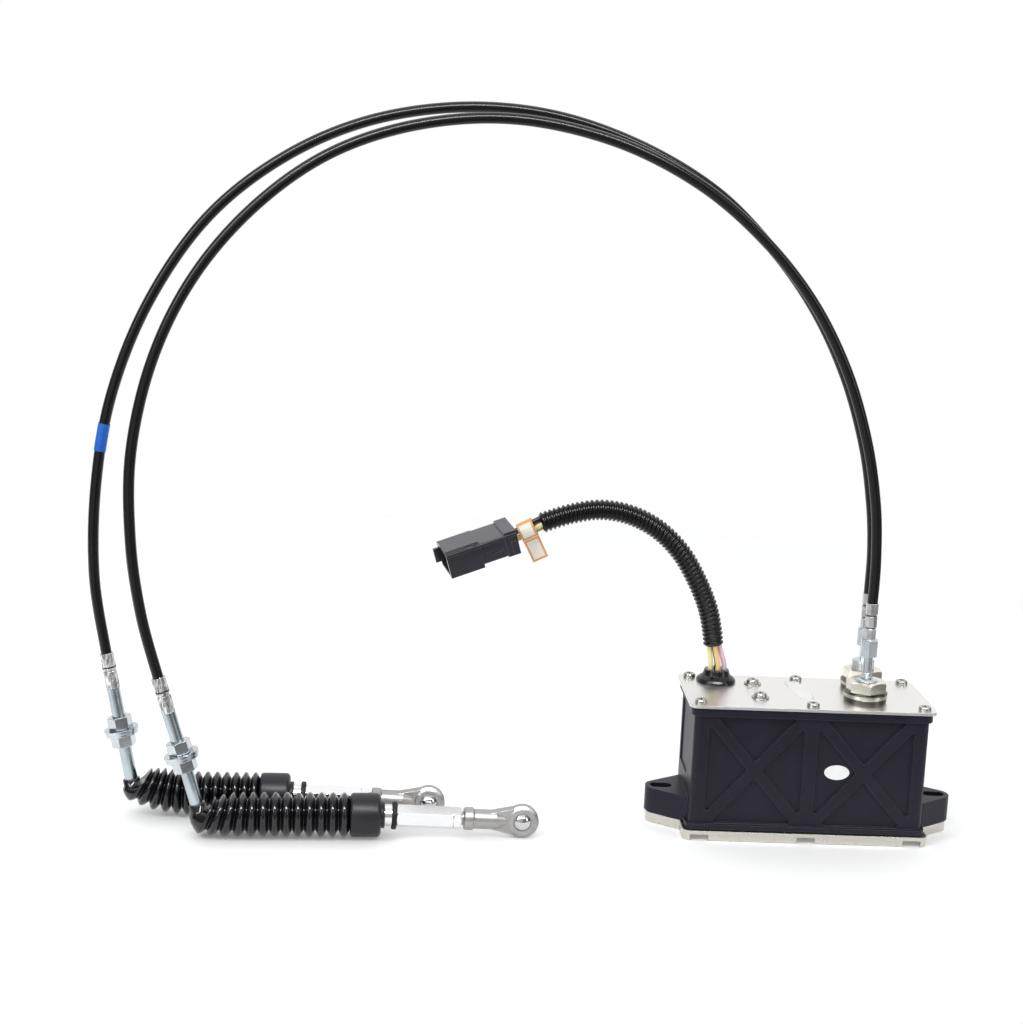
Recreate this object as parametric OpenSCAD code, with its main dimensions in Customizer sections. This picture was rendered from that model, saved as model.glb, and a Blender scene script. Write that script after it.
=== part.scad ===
// Governor actuator: a ribbed motor box that pulls two stiff control cables,
// each ending in a bellows boot and a ball rod end, with a short wiring lead.
// X runs along the box, Y away from its ribbed front, Z up from the floor.

/* [Box] */
// Length of the moulded housing
box_w = 145; // [140:1:156]
// Depth of the moulded housing
box_d = 65; // [64:1:72]
// Height of the moulded housing
box_h = 76.6; // [74:0.1:90]
// Wall of the housing
wall = 4; // [3:0.5:4.5]
// Corner radius of the housing
box_r = 4; // [3:0.5:8]
// How far the top flange and the foot of the housing stand out
rim_out = 2; // [1:0.5:3]
// Height of the top flange
flange_h = 4.5; // [3:0.5:7]
// Height of the foot of the housing
foot_h = 3; // [2:0.5:3.5]
// How far the lid and the tray stand out past the housing
cover_out = 3.5; // [3:0.5:5]

/* [Ribs] */
// Depth of the pockets between the crossed ribs
pocket_depth = 1.8; // [1:0.1:2.4]
// Width of the crossed ribs
rib_w = 6.6; // [4:0.2:9]
// Width of the rib between the two panels
mid_rib_w = 8; // [5:0.5:12]
// Width of the upright ribs at the corners
end_rib_w = 9; // [6:0.5:12]
// Height of the plain strip under the pockets
low_strip_h = 3.7; // [3.5:0.1:8]
// Corner radius of the pockets
pocket_r = 1.5; // [0.5:0.1:2]

/* [Lugs] */
// Reach of each mounting lug from the housing wall to its tip
lug_reach = 24.5; // [22:0.5:34]
// Radius of the lug's rounded tip
lug_tip_r = 9; // [8:0.5:12]
// Width of the lug where it joins the wall
lug_base_w = 46; // [30:1:54]
// Height of the lug
lug_h = 15.7; // [10:0.1:24]
// Radius of the bolt slot in the lug
slot_r = 4.25; // [3:0.05:5]
// Length of the bolt slot
slot_len = 14; // [11:0.5:16]

/* [Covers] */
// Height of the folded tray under the housing
tray_h = 6; // [5.5:0.1:9]
// Sheet of the tray
tray_t = 1.5; // [1:0.1:2]
// Thickness of the lid
lid_t = 1.8; // [1.2:0.1:3]
// Thickness of the seals under the lid and over the tray
seal_t = 0.8; // [0.5:0.1:1.5]
// Corner radius of the lid and the tray
cover_r = 5; // [4:0.5:8]

/* [Screws] */
// Radius of the cover screws
screw_r = 2; // [1.5:0.1:2.2]
// Radius of the screw heads
head_r = 3.9; // [3.2:0.1:4.2]
// Height of the screw heads
head_h = 2.6; // [2:0.1:3]
// Length of the cover screws under the head
screw_len = 13; // [9:0.5:15]
// Radius of the screw bosses in the housing
boss_r = 5; // [4:0.5:5.5]
// Depth of the screw bosses
boss_h = 17; // [16:0.5:22]

/* [Wiring] */
// Distance of the grommet from the box's left end
grommet_in = 19.5; // [18:0.5:22]
// Distance of the grommet from the box's rear face
grommet_back = 11.5; // [11.5:0.5:14]
// Radius of the grommet's base
grommet_r = 12.5; // [11.5:0.5:14]
// Radius of the grommet's neck in the lid
grommet_neck_r = 6.8; // [6.6:0.1:6.9]
// Height of the grommet over the lid
grommet_h = 8; // [6:0.5:11]
// Radius of the wires
wire_r = 1.6; // [1.2:0.1:1.7]
// Radius of the ribbed loom tube
loom_r = 6.5; // [6.3:0.1:7]

/* [Connector] */
// Length of the connector
plug_len = 46; // [40:1:56]
// Width of the connector's shell
plug_w = 23; // [21:0.5:26]
// Height of the connector's shell
plug_h = 16.7; // [16.2:0.1:20]
// Depth of the open socket
socket_depth = 20; // [15:0.5:24]
// Wall round the socket
socket_wall = 1.8; // [1.4:0.1:2.4]
// Radius of the contact pins
pin_r = 0.8; // [0.6:0.1:1]

/* [Mechanism] */
// Distance from the box's right end to the motor bracket
mount_in = 72.5; // [71:0.5:74]
// Clear space between the motor's left end and the wall
motor_end_gap = 10.5; // [9:0.5:13]
// Place of the drum shaft across the box
drum_y = 3; // [2:0.5:4]
// Height of the drum shaft over the floor
drum_z = 44; // [42:0.5:48]
// Distance from the motor bracket to the front cable's groove
groove_x = 36; // [34:0.5:38]
// Distance between the two drum grooves
groove_pitch = 4; // [3.6:0.1:5]
// Radius of the pulled wires
core_r = 0.8; // [0.6:0.05:0.9]
// Radius of the drum shaft
shaft_r = 3; // [2.5:0.1:3.2]
// Sheet of the two brackets
bracket_t = 2.5; // [2:0.1:3]
// Module of the gears
gear_module = 0.8; // [0.75:0.01:0.85]
// Teeth of the drive pinion
pinion_teeth = 12; // [12:1:14]
// Teeth of the drum gear
drum_teeth = 48; // [44:1:50]
// Width of the drum gear
gear_w = 6; // [4:0.5:8]
// Radius of the motor's gearhead
motor_r = 13; // [12:0.5:13]

/* [Glands] */
// Radius of the gland's threaded body
gland_r = 7; // [6:0.1:7.5]
// Height of the gland nut
gland_nut_h = 7.2; // [5:0.1:9]
// Thickness of the seal washer on the lid
gland_seal_t = 3; // [2:0.1:3.5]
// Thickness of the washer under the gland nut
gland_washer_t = 2.6; // [1.5:0.1:3]
// Height of the rear gland's thread over its nut
gland_step_h = 6; // [4:0.5:8]
// Height of the hexagon's foot over the lid
gland_hex_at = 28.5; // [27:0.5:32]
// Height of the hexagon on the stem
gland_hex_h = 10.5; // [7:0.5:14]
// Width across flats of the hexagon on the stem
gland_hex_af = 9.8; // [8:0.1:12]
// Length of the crimped ferrule over the gland
inlet_ferrule_len = 23; // [18:0.5:28]

/* [Cables] */
// Radius of the cable's outer jacket
cable_r = 3.25; // [2.5:0.05:3.5]
// Radius of the crimped ferrules over the glands
inlet_ferrule_r = 3.8; // [3.6:0.1:4.6]
// Radius of the crimped ferrules at the far ends
outlet_ferrule_r = 4.2; // [3.9:0.1:5]
// Length of the crimped ferrule at the far end
outlet_ferrule_len = 22; // [16:0.5:28]
// Bare tube between the far ferrule and the first nut
tube_upper_len = 18.5; // [8:0.5:26]
// Bare tube between the second nut and the boot
tube_lower_len = 21.5; // [10:0.5:30]
// Radius of the far tube
tube_r = 4; // [3.6:0.1:4.4]
// Width across flats of the nuts on the far tube
tube_nut_af = 13; // [12:0.5:15]
// Height of the nuts on the far tube
tube_nut_h = 7.5; // [5:0.5:9]
// Radius of the washers on the far tube
tube_washer_r = 10.5; // [8:0.5:12]
// Thickness of the washers on the far tube
tube_washer_t = 2; // [1:0.1:2.6]

/* [Boots] */
// Number of pleats in each boot
pleats = 13; // [11:1:15]
// Pleat spacing of the front boot
front_pitch = 6.9; // [5.6:0.1:7.4]
// Pleat spacing of the rear boot
rear_pitch = 5.9; // [5.6:0.1:7.4]
// Radius over the pleats
crest_r = 13.5; // [12.5:0.1:15]
// Radius at the bottom of the pleats
root_r = 9.2; // [9:0.1:11]
// Length of the boot's plain cuff
cuff_len = 18.6; // [14:0.2:24]
// Radius of the boot's plain cuff
cuff_r = 13.2; // [11.5:0.1:13.5]

/* [Rod ends] */
// Radius of the coupler's round stem
stem_r = 6.5; // [5.5:0.1:6.6]
// Width across flats of the coupler's hexagon bar
bar_af = 12.4; // [11:0.1:14]
// Length of the coupler's hexagon bar
bar_len = 34.4; // [24:0.2:44]
// Radius of the rod end's thread
thread_r = 4; // [3:0.1:4.5]
// Height of the jam nut
jam_h = 4.8; // [3.5:0.1:6.5]
// Length of the rod end's round collar
collar_len = 6.2; // [4:0.2:9]
// Radius of the rod end's round collar
collar_r = 7; // [6.2:0.1:8]
// Distance from the collar to the ball centre
shank_len = 29.8; // [24:0.2:36]
// Radius of the rod end's shank
shank_r = 6; // [5:0.1:6.5]
// Outer radius of the eye
eye_r = 10.2; // [9:0.1:12]
// Width of the eye
eye_w = 7.4; // [6.5:0.1:9]
// Radius of the ball
ball_r = 6.35; // [5.5:0.05:7]
// Radius of the ball stud's thread
stud_r = 3; // [2.5:0.1:3.5]
// Length of the ball stud's thread
stud_len = 7; // [6:0.5:12]

/* [Hidden] */
$fn = 48;

// Clearances
run_gap = 0.04;
slip_gap = 0.1;
loose_gap = 0.3;
// A cut runs this far past the face it opens
past = 1;

// Heights of the box, from the floor up
z_housing = tray_h + seal_t;
z_rim = z_housing + box_h;
z_lid = z_rim + seal_t;
z_top = z_lid + lid_t;
z_bracket = z_lid - bracket_t;
cover_w = box_w + 2 * cover_out;
cover_d = box_d + 2 * cover_out;
inner_w = box_w - 2 * wall;
inner_d = box_d - 2 * wall;

// Cover screws sit on the middle of the housing's wall
screw_x = box_w / 2 - wall + 0.5;
screw_y = box_d / 2 - wall + 1;
cover_screws = [for (x = [-screw_x, 0, screw_x]) for (y = [-screw_y, screw_y]) [x, y]];
// The motor bracket's face, from which the mechanism is laid out along the box
mount_x = box_w / 2 - mount_in;
bracket_reach = 38;
bracket_screws_at = [for (y = [-14, 17]) [mount_x - bracket_reach + 8, y]];
grommet_x = -box_w / 2 + grommet_in;
grommet_y = box_d / 2 - grommet_back;

// Sides of the actuator: 0 is the front cable and 1 the rear one
front = 0;
rear = 1;
groove_at = [groove_x, groove_x + groove_pitch];
gland_x = [for (x = groove_at) mount_x + x];
// The drum and what stands on the glands share out the depth of the box
drum_r = box_d * 14 / 65;
gland_washer_r = drum_r - 0.5;
gland_nut_af = drum_r * 11 / 7;
gland_y = [drum_y - drum_r, drum_y + drum_r];

// Moves the start of a route to a new place, less and less towards its fixed far end
function led_from(p, start) = let (n = len(p) - 1)
  [for (i = [0:n]) p[i] + (start - p[0]) * min(1, (n - i) / (n - 1))];
// Hand-chosen route of each cable, from its gland to its far ferrule
hand_route = [
  [[36, -11, 148], [36, -11, 175], [33, -11, 210], [24, -12, 250], [8, -14, 292], [-16, -17, 332],
   [-48, -20, 367], [-88, -24, 397], [-138, -29, 419], [-195, -35, 429], [-250, -40, 424],
   [-300, -46, 406], [-342, -50, 375], [-376, -54, 334], [-399, -56, 286], [-411, -57, 232],
   [-411, -58, 180], [-405, -57, 136], [-395, -56, 98]],
  [[40, 17, 148], [40, 17, 175], [37, 17, 205], [29, 16, 243], [14, 15, 285], [-8, 13, 325],
   [-37, 11, 361], [-74, 8, 394], [-122, 4, 419], [-175, 0, 434], [-230, -4, 436], [-285, -8, 425],
   [-334, -12, 401], [-376, -16, 365], [-409, -18, 315], [-430, -20, 260], [-439, -21, 205],
   [-440, -21, 150], [-433, -20, 102]]];
// Height over the lid where each ferrule starts
z_inlet = gland_hex_at + gland_hex_h;
cable_route = [for (side = [front, rear])
  led_from(hand_route[side], [gland_x[side], gland_y[side], z_top + z_inlet + inlet_ferrule_len])];
// Hand-chosen route of the loom, from over the grommet to the connector
hand_loom = [[-56, 21, 110], [-58, 21, 122], [-62, 20, 136], [-70, 19, 153], [-81, 18, 170],
  [-96, 17, 184], [-114, 15, 193], [-133, 13, 196], [-152, 11, 193], [-170, 9, 187]];
loom_route = led_from(hand_loom, [grommet_x - 3, grommet_y, z_top + grommet_h + 16]);
cable_sides = 10;
loom_sides = 12;
wire_sides = 8;

// How each far fitting leans from upright, and how its boot and rod turn from the X axis
lean = [16.5, 10.7];
yaw = [4.4, 2.7];

// Unit vector
function unit(v) = v / norm(v);
// Point on a smooth curve through the points of a route, t from 0 to 1 after point i
function on_route(p, i, t) = let (
    a = p[max(i - 1, 0)], b = p[i], c = p[i + 1], d = p[min(i + 2, len(p) - 1)])
  0.5 * (2 * b + (c - a) * t + (2 * a - 5 * b + 4 * c - d) * t * t + (3 * b - a - 3 * c + d) * t * t * t);
// Smooth path with n steps between the points of a route
function smooth_path(p, n) = concat(
  [for (i = [0:len(p) - 2]) for (k = [0:n - 1]) on_route(p, i, k / n)], [p[len(p) - 1]]);
// Direction of a path at its point i
function heading(p, i) = unit(p[min(i + 1, len(p) - 1)] - p[max(i - 1, 0)]);
// Ring of points round a centre, square to the direction t
function ring(c, t, r, sides) = let (a = unit(cross([0, 1, 0], t)), b = cross(t, a))
  [for (k = [0:sides - 1]) c + r * (cos(360 * k / sides) * a + sin(360 * k / sides) * b)];
// Two triangles for each side between ring i and ring j
function skin(i, j, sides) = [for (k = [0:sides - 1]) let (m = (k + 1) % sides)
  each [[i * sides + k, j * sides + k, j * sides + m], [i * sides + k, j * sides + m, i * sides + m]]];

// Round tube along a path, with its end faces square to the given directions
module tube(path, r, sides, first, last) {
  n = len(path);
  rings = [for (i = [0:n - 1])
    ring(path[i], i == 0 ? first : i == n - 1 ? last : heading(path, i), r, sides)];
  polyhedron(
    points = [for (one = rings) each one],
    faces = concat([[for (k = [0:sides - 1]) k]], [for (i = [0:n - 2]) each skin(i, i + 1, sides)],
      [[for (k = [0:sides - 1]) n * sides - 1 - k]]));
}

// Closed hollow skin through a loop of rings, out along one wall and back along the other
module hollow_skin(rings, sides) {
  n = len(rings);
  polyhedron(
    points = [for (one = rings) each one],
    faces = [for (i = [0:n - 1]) each skin(i, (i + 1) % n, sides)]);
}

// Flat outline with rounded corners
module rounded_rect(w, d, r) {
  square([w - 2 * r, d], center = true);
  square([w, d - 2 * r], center = true);
  for (x = [-1, 1])
    for (y = [-1, 1])
      translate([x * (w / 2 - r), y * (d / 2 - r)])
        circle(r);
}

// Slot along X
module slot(r, length) {
  square([length - 2 * r, 2 * r], center = true);
  for (x = [-1, 1])
    translate([x * (length / 2 - r), 0])
      circle(r);
}

// Hexagon bar along Z, by its width across flats
module hex(af, h) {
  cylinder(r = af / sqrt(3), h = h, $fn = 6);
}

// Hexagon nut with chamfered corners
module hex_nut(af, h, bore_r) {
  corner_r = af / sqrt(3);
  chamfer = (corner_r - af / 2) / 2;
  difference() {
    intersection() {
      hex(af, h);
      rotate_extrude()
        polygon([[0, 0], [af / 2, 0], [corner_r, chamfer], [corner_r, h - chamfer], [af / 2, h], [0, h]]);
    }
    translate([0, 0, -past])
      cylinder(r = bore_r, h = h + 2 * past);
  }
}

module washer(r, bore_r, t) {
  difference() {
    cylinder(r = r, h = t);
    translate([0, 0, -past])
      cylinder(r = bore_r, h = t + 2 * past);
  }
}

// Pan-head screw that points down, with its head's seat at z = 0
module pan_screw(r, length, head_r, head_h) {
  recess_w = head_r / 4;
  difference() {
    rotate_extrude()
      polygon(concat([[0, -length], [r, -length], [r, 0], [head_r, 0], [head_r, head_h * 0.5]],
        [for (a = [20:20:80]) [head_r * (0.7 + 0.3 * cos(a)), head_h * (0.5 + 0.5 * sin(a))]],
        [[0, head_h]]));
    for (turn = [0, 90])
      rotate(turn)
        translate([-head_r * 0.55, -recess_w / 2, head_h * 0.45])
          cube([head_r * 1.1, recess_w, head_h]);
  }
}

// Mounting lug's outline on the right side, drawn in from its true edge by inset
module lug_outline(inset) {
  tip_r = lug_tip_r - inset;
  tip_x = box_w / 2 + lug_reach - lug_tip_r;
  base_x = box_w / 2 - wall / 2;
  base_y = lug_base_w / 2 - inset;
  to_base = [base_x - tip_x, base_y];
  turn = atan2(to_base[1], to_base[0]) - acos(tip_r / norm(to_base));
  touch = [tip_x + tip_r * cos(turn), tip_r * sin(turn)];
  translate([tip_x, 0])
    circle(tip_r);
  polygon([[base_x, base_y], touch, [touch[0], -touch[1]], [base_x, -base_y]]);
}

module both_lugs(inset) {
  for (side = [0, 1])
    mirror([side, 0])
      lug_outline(inset);
}

// Bolt slots of the two lugs, in their plan
module lug_slots() {
  for (x = [-1, 1])
    translate([x * (box_w / 2 + lug_reach - lug_tip_r - 1), 0])
      slot(slot_r, slot_len);
}

// Triangle with rounded corners: each corner is an arc between its two sides
function rounded(p, r, n = 4) = [for (i = [0:len(p) - 1]) let (
    b = p[i], u = unit(p[(i + len(p) - 1) % len(p)] - b), v = unit(p[(i + 1) % len(p)] - b),
    half = acos(u * v) / 2, middle = b + unit(u + v) * r / sin(half),
    from = atan2((b + u * r / tan(half) - middle)[1], (b + u * r / tan(half) - middle)[0]),
    to = atan2((b + v * r / tan(half) - middle)[1], (b + v * r / tan(half) - middle)[0]),
    sweep = (to - from + 540) % 360 - 180)
  for (k = [0:n]) middle + r * [cos(from + sweep * k / n), sin(from + sweep * k / n)]];

// Four triangular pockets that leave crossed ribs on one panel
module cross_pockets(w, h) {
  steep = atan2(h, w);
  along_w = rib_w / 2 / sin(steep);
  along_h = rib_w / 2 / cos(steep);
  for (s = [-1, 1]) {
    polygon(rounded([[-w / 2 + along_w, s * h / 2], [w / 2 - along_w, s * h / 2], [0, s * along_h]],
      pocket_r));
    polygon(rounded([[s * w / 2, -h / 2 + along_h], [s * w / 2, h / 2 - along_h], [s * along_w, 0]],
      pocket_r));
  }
}

panel_w = (box_w - 2 * end_rib_w - mid_rib_w) / 2;
panel_h = box_h - flange_h - low_strip_h;
panel_x = (mid_rib_w + panel_w) / 2;
panel_z = z_housing + low_strip_h + panel_h / 2;
side_panel_h = 46;

module housing() {
  color("#2b2b33")
    difference() {
      union() {
        translate([0, 0, z_housing])
          linear_extrude(box_h)
            rounded_rect(box_w, box_d, box_r);
        translate([0, 0, z_rim - flange_h])
          linear_extrude(flange_h)
            rounded_rect(box_w + 2 * rim_out, box_d + 2 * rim_out, box_r + rim_out);
        translate([0, 0, z_housing])
          linear_extrude(foot_h)
            rounded_rect(box_w + 2 * rim_out, box_d + 2 * rim_out, box_r + rim_out);
        translate([0, 0, z_housing])
          linear_extrude(lug_h)
            both_lugs(0);
      }
      // Open well between the bosses
      difference() {
        translate([0, 0, z_housing - past])
          linear_extrude(box_h + 2 * past)
            rounded_rect(inner_w, inner_d, box_r / 2);
        for (at = cover_screws)
          for (z = [z_housing - 2 * past, z_rim - boss_h])
            translate([at[0], at[1], z])
              cylinder(r = boss_r, h = boss_h + 2 * past);
      }
      // Screw holes from above and below
      for (at = cover_screws) {
        translate([at[0], at[1], z_rim - screw_len - past])
          cylinder(r = screw_r + slip_gap, h = screw_len + 2 * past);
        translate([at[0], at[1], z_housing - past])
          cylinder(r = screw_r + slip_gap, h = screw_len + 2 * past);
      }
      // Crossed-rib pockets on the front and back
      for (s = [-1, 1])
        for (x = [-panel_x, panel_x])
          translate([x, s * (box_d / 2 - pocket_depth / 2 + past / 2), panel_z])
            rotate([90, 0, 0])
              linear_extrude(pocket_depth + past, center = true)
                cross_pockets(panel_w, panel_h);
      // Shallow step on each end wall, over the lug
      for (s = [-1, 1])
        translate([s * (box_w / 2 + past / 2 - 0.5), box_d / 8, z_rim - flange_h - side_panel_h / 2])
          cube([past + 1, box_d / 2, side_panel_h], center = true);
      translate([0, 0, z_housing - past])
        linear_extrude(lug_h + 2 * past)
          lug_slots();
    }
}

// Block with the tray's outline, drawn in from its true edge by inset
module tray_block(inset, h) {
  linear_extrude(h)
    rounded_rect(cover_w - 2 * inset, cover_d - 2 * inset, cover_r - inset);
  linear_extrude(h)
    both_lugs(inset + 1);
}

notch_w = 11;
notch_h = 3.6;

module bottom_tray() {
  color("#d8d2c4")
    difference() {
      tray_block(0, tray_h);
      translate([0, 0, -past])
        tray_block(tray_t, tray_h - tray_t + past);
      translate([0, 0, -past])
        linear_extrude(tray_h + 2 * past)
          lug_slots();
      for (at = cover_screws)
        translate([at[0], at[1], -past])
          cylinder(r = screw_r + loose_gap, h = tray_h + 2 * past);
      // Notches that show the screw heads along the front and back edges
      for (at = cover_screws)
        translate([at[0] - sign(at[0]) * 3, sign(at[1]) * cover_d / 2, 0])
          cube([notch_w, 4 * tray_t, 2 * notch_h], center = true);
    }
}

// Flat seal with the housing's outline and the cover screws' holes
module seal() {
  linear_extrude(seal_t)
    difference() {
      rounded_rect(box_w + rim_out, box_d + rim_out, box_r);
      rounded_rect(inner_w, inner_d, box_r / 2);
      for (at = cover_screws)
        translate(at)
          circle(screw_r + loose_gap);
    }
}

module tray_gasket() {
  color("#1a1a1c")
    translate([0, 0, tray_h])
      seal();
}

module lid_gasket() {
  color("#1a1a1c")
    translate([0, 0, z_rim])
      seal();
}

module lid() {
  color("#d9d8d4")
    translate([0, 0, z_lid])
      linear_extrude(lid_t)
        difference() {
          rounded_rect(cover_w, cover_d, cover_r);
          for (at = concat(cover_screws, bracket_screws_at))
            translate(at)
              circle(screw_r + loose_gap);
          translate([grommet_x, grommet_y])
            circle(grommet_neck_r + slip_gap);
          for (side = [front, rear])
            translate([gland_x[side], gland_y[side]])
              circle(gland_r + loose_gap);
        }
}

module lid_screws() {
  color("#b9b6ae")
    for (at = cover_screws)
      translate([at[0], at[1], z_top])
        pan_screw(screw_r, screw_len, head_r, head_h);
}

bracket_washer_t = 0.8;

module bracket_screws() {
  color("#b9b6ae")
    for (at = bracket_screws_at)
      translate([at[0], at[1], z_top]) {
        cylinder(r = head_r + 1.6, h = bracket_washer_t);
        translate([0, 0, bracket_washer_t])
          pan_screw(screw_r, lid_t + bracket_t + bracket_washer_t + 2, head_r, head_h);
      }
}

module tray_screws() {
  color("#b9b6ae")
    for (at = cover_screws)
      translate([at[0], at[1], tray_h - tray_t])
        mirror([0, 0, 1])
          pan_screw(screw_r, screw_len, head_r, head_h);
}

label_t = 0.25;
label_w = 9.4;
label_len = 39;
// Room from the label's rear end to the middle of the cover's rear screws
label_clear = 4;

module lid_label() {
  color("#f2f1ee")
    translate([mount_x - 2, screw_y - label_clear - label_len / 2, z_top])
      rotate(7)
        linear_extrude(label_t)
          rounded_rect(label_w, label_len, 2);
}

oval_w = 15.6;
oval_h = 9.4;

module oval_label() {
  color("white")
    translate([panel_x - 16.4, -box_d / 2 + pocket_depth, panel_z])
      rotate([90, 0, 0])
        linear_extrude(label_t)
          polygon([for (a = [0:10:350]) [oval_w / 2 * cos(a), oval_h / 2 * sin(a)]]);
}

// Places of the wires in the grommet, and closer together in the loom
wire_in_grommet = [[-4.2, -1], [0.3, -3], [4.4, -0.8], [0.3, 3.2]];
wire_in_loom = [[-3, -0.5], [0.5, -2.8], [3.6, 0.2], [0.2, 3]];
grommet_lip_h = 2;
yellow = 0;
orange = 1;
pink = 2;
black = 3;

module grommet() {
  top_r = grommet_neck_r + 1;
  color("#1c1c1e")
    translate([grommet_x, grommet_y, 0])
      difference() {
        rotate_extrude()
          polygon([[0, z_lid - grommet_lip_h], [grommet_neck_r + 0.5, z_lid - grommet_lip_h],
            [grommet_neck_r + 0.5, z_lid], [grommet_neck_r, z_lid], [grommet_neck_r, z_top],
            [grommet_r, z_top], [grommet_r, z_top + 1.4], [grommet_r - 0.8, z_top + 2.6],
            [top_r + 1, z_top + grommet_h * 0.6], [top_r, z_top + grommet_h], [0, z_top + grommet_h]]);
        for (at = wire_in_grommet)
          translate([at[0], at[1], z_lid - grommet_lip_h - past])
            cylinder(r = wire_r + slip_gap, h = grommet_h + lid_t + grommet_lip_h + 2 * past);
      }
}

// Drum shaft's axis and the motor's axis under it
gear_gap = 0.1;
centre_distance = gear_module * (pinion_teeth + drum_teeth) / 2 + gear_gap;
motor_angle = 234;
motor_y = drum_y + centre_distance * cos(motor_angle);
motor_z = drum_z + centre_distance * sin(motor_angle);
motor_len = box_w / 2 + mount_x - wall - motor_end_gap;
gear_x = 6;
drum_w = 2 * groove_pitch + 2;
bearing_x = groove_x + 20;
bush_flange_t = 1;
bush_wall = 1.5;

// Far ends of the wires: two on the motor's cap and two on the position sensor
motor_end = mount_x - motor_len;
sensor_top = mount_x + bearing_x + bracket_t + 3;
wire_y = inner_d / 2 - 2.5;
function motor_lead(y, z, side_y) = [
  [motor_end - 2 + z - 62, side_y, z], [motor_end - 6, side_y - 12, z - 14],
  [motor_end - 7, y, motor_z + 10], [motor_end - 4, y, motor_z + 4], [motor_end - 0.4, y, motor_z + 3.5]];
function sensor_lead(from, z) = [
  [grommet_x + from, wire_y - 1, z + 13], [grommet_x + from + 13, wire_y, z + 4],
  [mount_x - 10, wire_y, z], [mount_x + 30, wire_y, z], [sensor_top - 11.5, wire_y, z],
  [sensor_top - 2.5, wire_y - 2, z], [sensor_top, drum_y + 13.7, z]];
wire_ends = [motor_lead(motor_y + 5, 62, 14), motor_lead(motor_y - 4, 64, 6),
  sensor_lead(9, drum_z + 10), sensor_lead(3, drum_z + 4)];

// Route of one wire inside the box, down from the grommet to its terminal
function wire_inside(w) = let (at = [grommet_x, grommet_y] + wire_in_grommet[w])
  concat([for (z = [z_top + grommet_h + 4, z_top + grommet_h + 0.3, z_lid - grommet_lip_h - 0.3,
    z_lid - 10]) [at[0], at[1], z]], wire_ends[w]);

// One wire: from its terminal to the loom, and from the loom's end into the connector
module wire(w) {
  inside = wire_inside(w);
  foot = loom_route[0];
  n = len(loom_route);
  up = [loom_route[1] - loom_route[0], loom_route[n - 1] - loom_route[n - 2]];
  lower = concat([[foot[0] + wire_in_loom[w][0], foot[1] + wire_in_loom[w][1],
    foot[2] - (wire_in_loom[w][0] * up[0][0] + wire_in_loom[w][1] * up[0][1]) / up[0][2]]], inside);
  last = len(lower) - 1;
  tube(smooth_path(lower, 2), wire_r, wire_sides, -unit(up[0]), unit(lower[last] - lower[last - 1]));
  tail_from = loom_route[n - 1];
  ahead = unit(up[1]);
  rise = unit(cross([0, 1, 0], ahead));
  tail = tail_from + wire_in_loom[w][0] * cross(ahead, rise) + wire_in_loom[w][1] * rise;
  socket = [for (x = [-1, wire_in_plug]) plug_point([x, -wire_in_loom[w][0], wire_in_loom[w][1]])];
  tube([tail, (tail + socket[0]) / 2, socket[0], socket[1]], wire_r, wire_sides, ahead, plug_axis);
}

module wire_yellow() {
  color("#e6e08a")
    wire(yellow);
}

module wire_orange() {
  color("#d9a24a")
    wire(orange);
}

module wire_pink() {
  color("#e0a5b8")
    wire(pink);
}

module wire_black() {
  color("#202022")
    wire(black);
}

module loom() {
  n = len(loom_route);
  color("#19191b")
    tube(smooth_path(loom_route, 1), loom_r, loom_sides, unit(loom_route[1] - loom_route[0]),
      unit(loom_route[n - 1] - loom_route[n - 2]));
}

// The connector hangs on the loom, its socket pointing down and out to the left
plug_at = [-187, 8, 178];
plug_turn = [-10, 18.4, 193.3];
plug_axis = turned([1, 0, 0]);
// Turns a direction of the connector into the part's frame
function turn_x(v, t) = [v[0], v[1] * cos(t) - v[2] * sin(t), v[1] * sin(t) + v[2] * cos(t)];
function turn_y(v, t) = [v[0] * cos(t) + v[2] * sin(t), v[1], v[2] * cos(t) - v[0] * sin(t)];
function turn_z(v, t) = [v[0] * cos(t) - v[1] * sin(t), v[0] * sin(t) + v[1] * cos(t), v[2]];
function turned(v) = turn_z(turn_y(turn_x(v, plug_turn[0]), plug_turn[1]), plug_turn[2]);
function plug_point(v) = plug_at + turned(v);

module at_plug() {
  translate(plug_at)
    rotate(plug_turn)
      children();
}

// Box along the connector's axis from x0 to x1, of the given width, from z0 to z1
module plug_block(x0, x1, w, z0, z1) {
  translate([x0, -w / 2, z0])
    cube([x1 - x0, w, z1 - z0]);
}

plug_rear_len = 8;
plug_step = plug_len - socket_depth - 2;
plug_z = plug_h / 2;
socket_from = plug_len - socket_depth;
socket_w = plug_w - 2 * socket_wall;
socket_h = plug_h - 2 * socket_wall;
wedge_len = 5;
pin_len = 11;
pin_pitch = 4.6;
wire_in_plug = 3;

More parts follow.
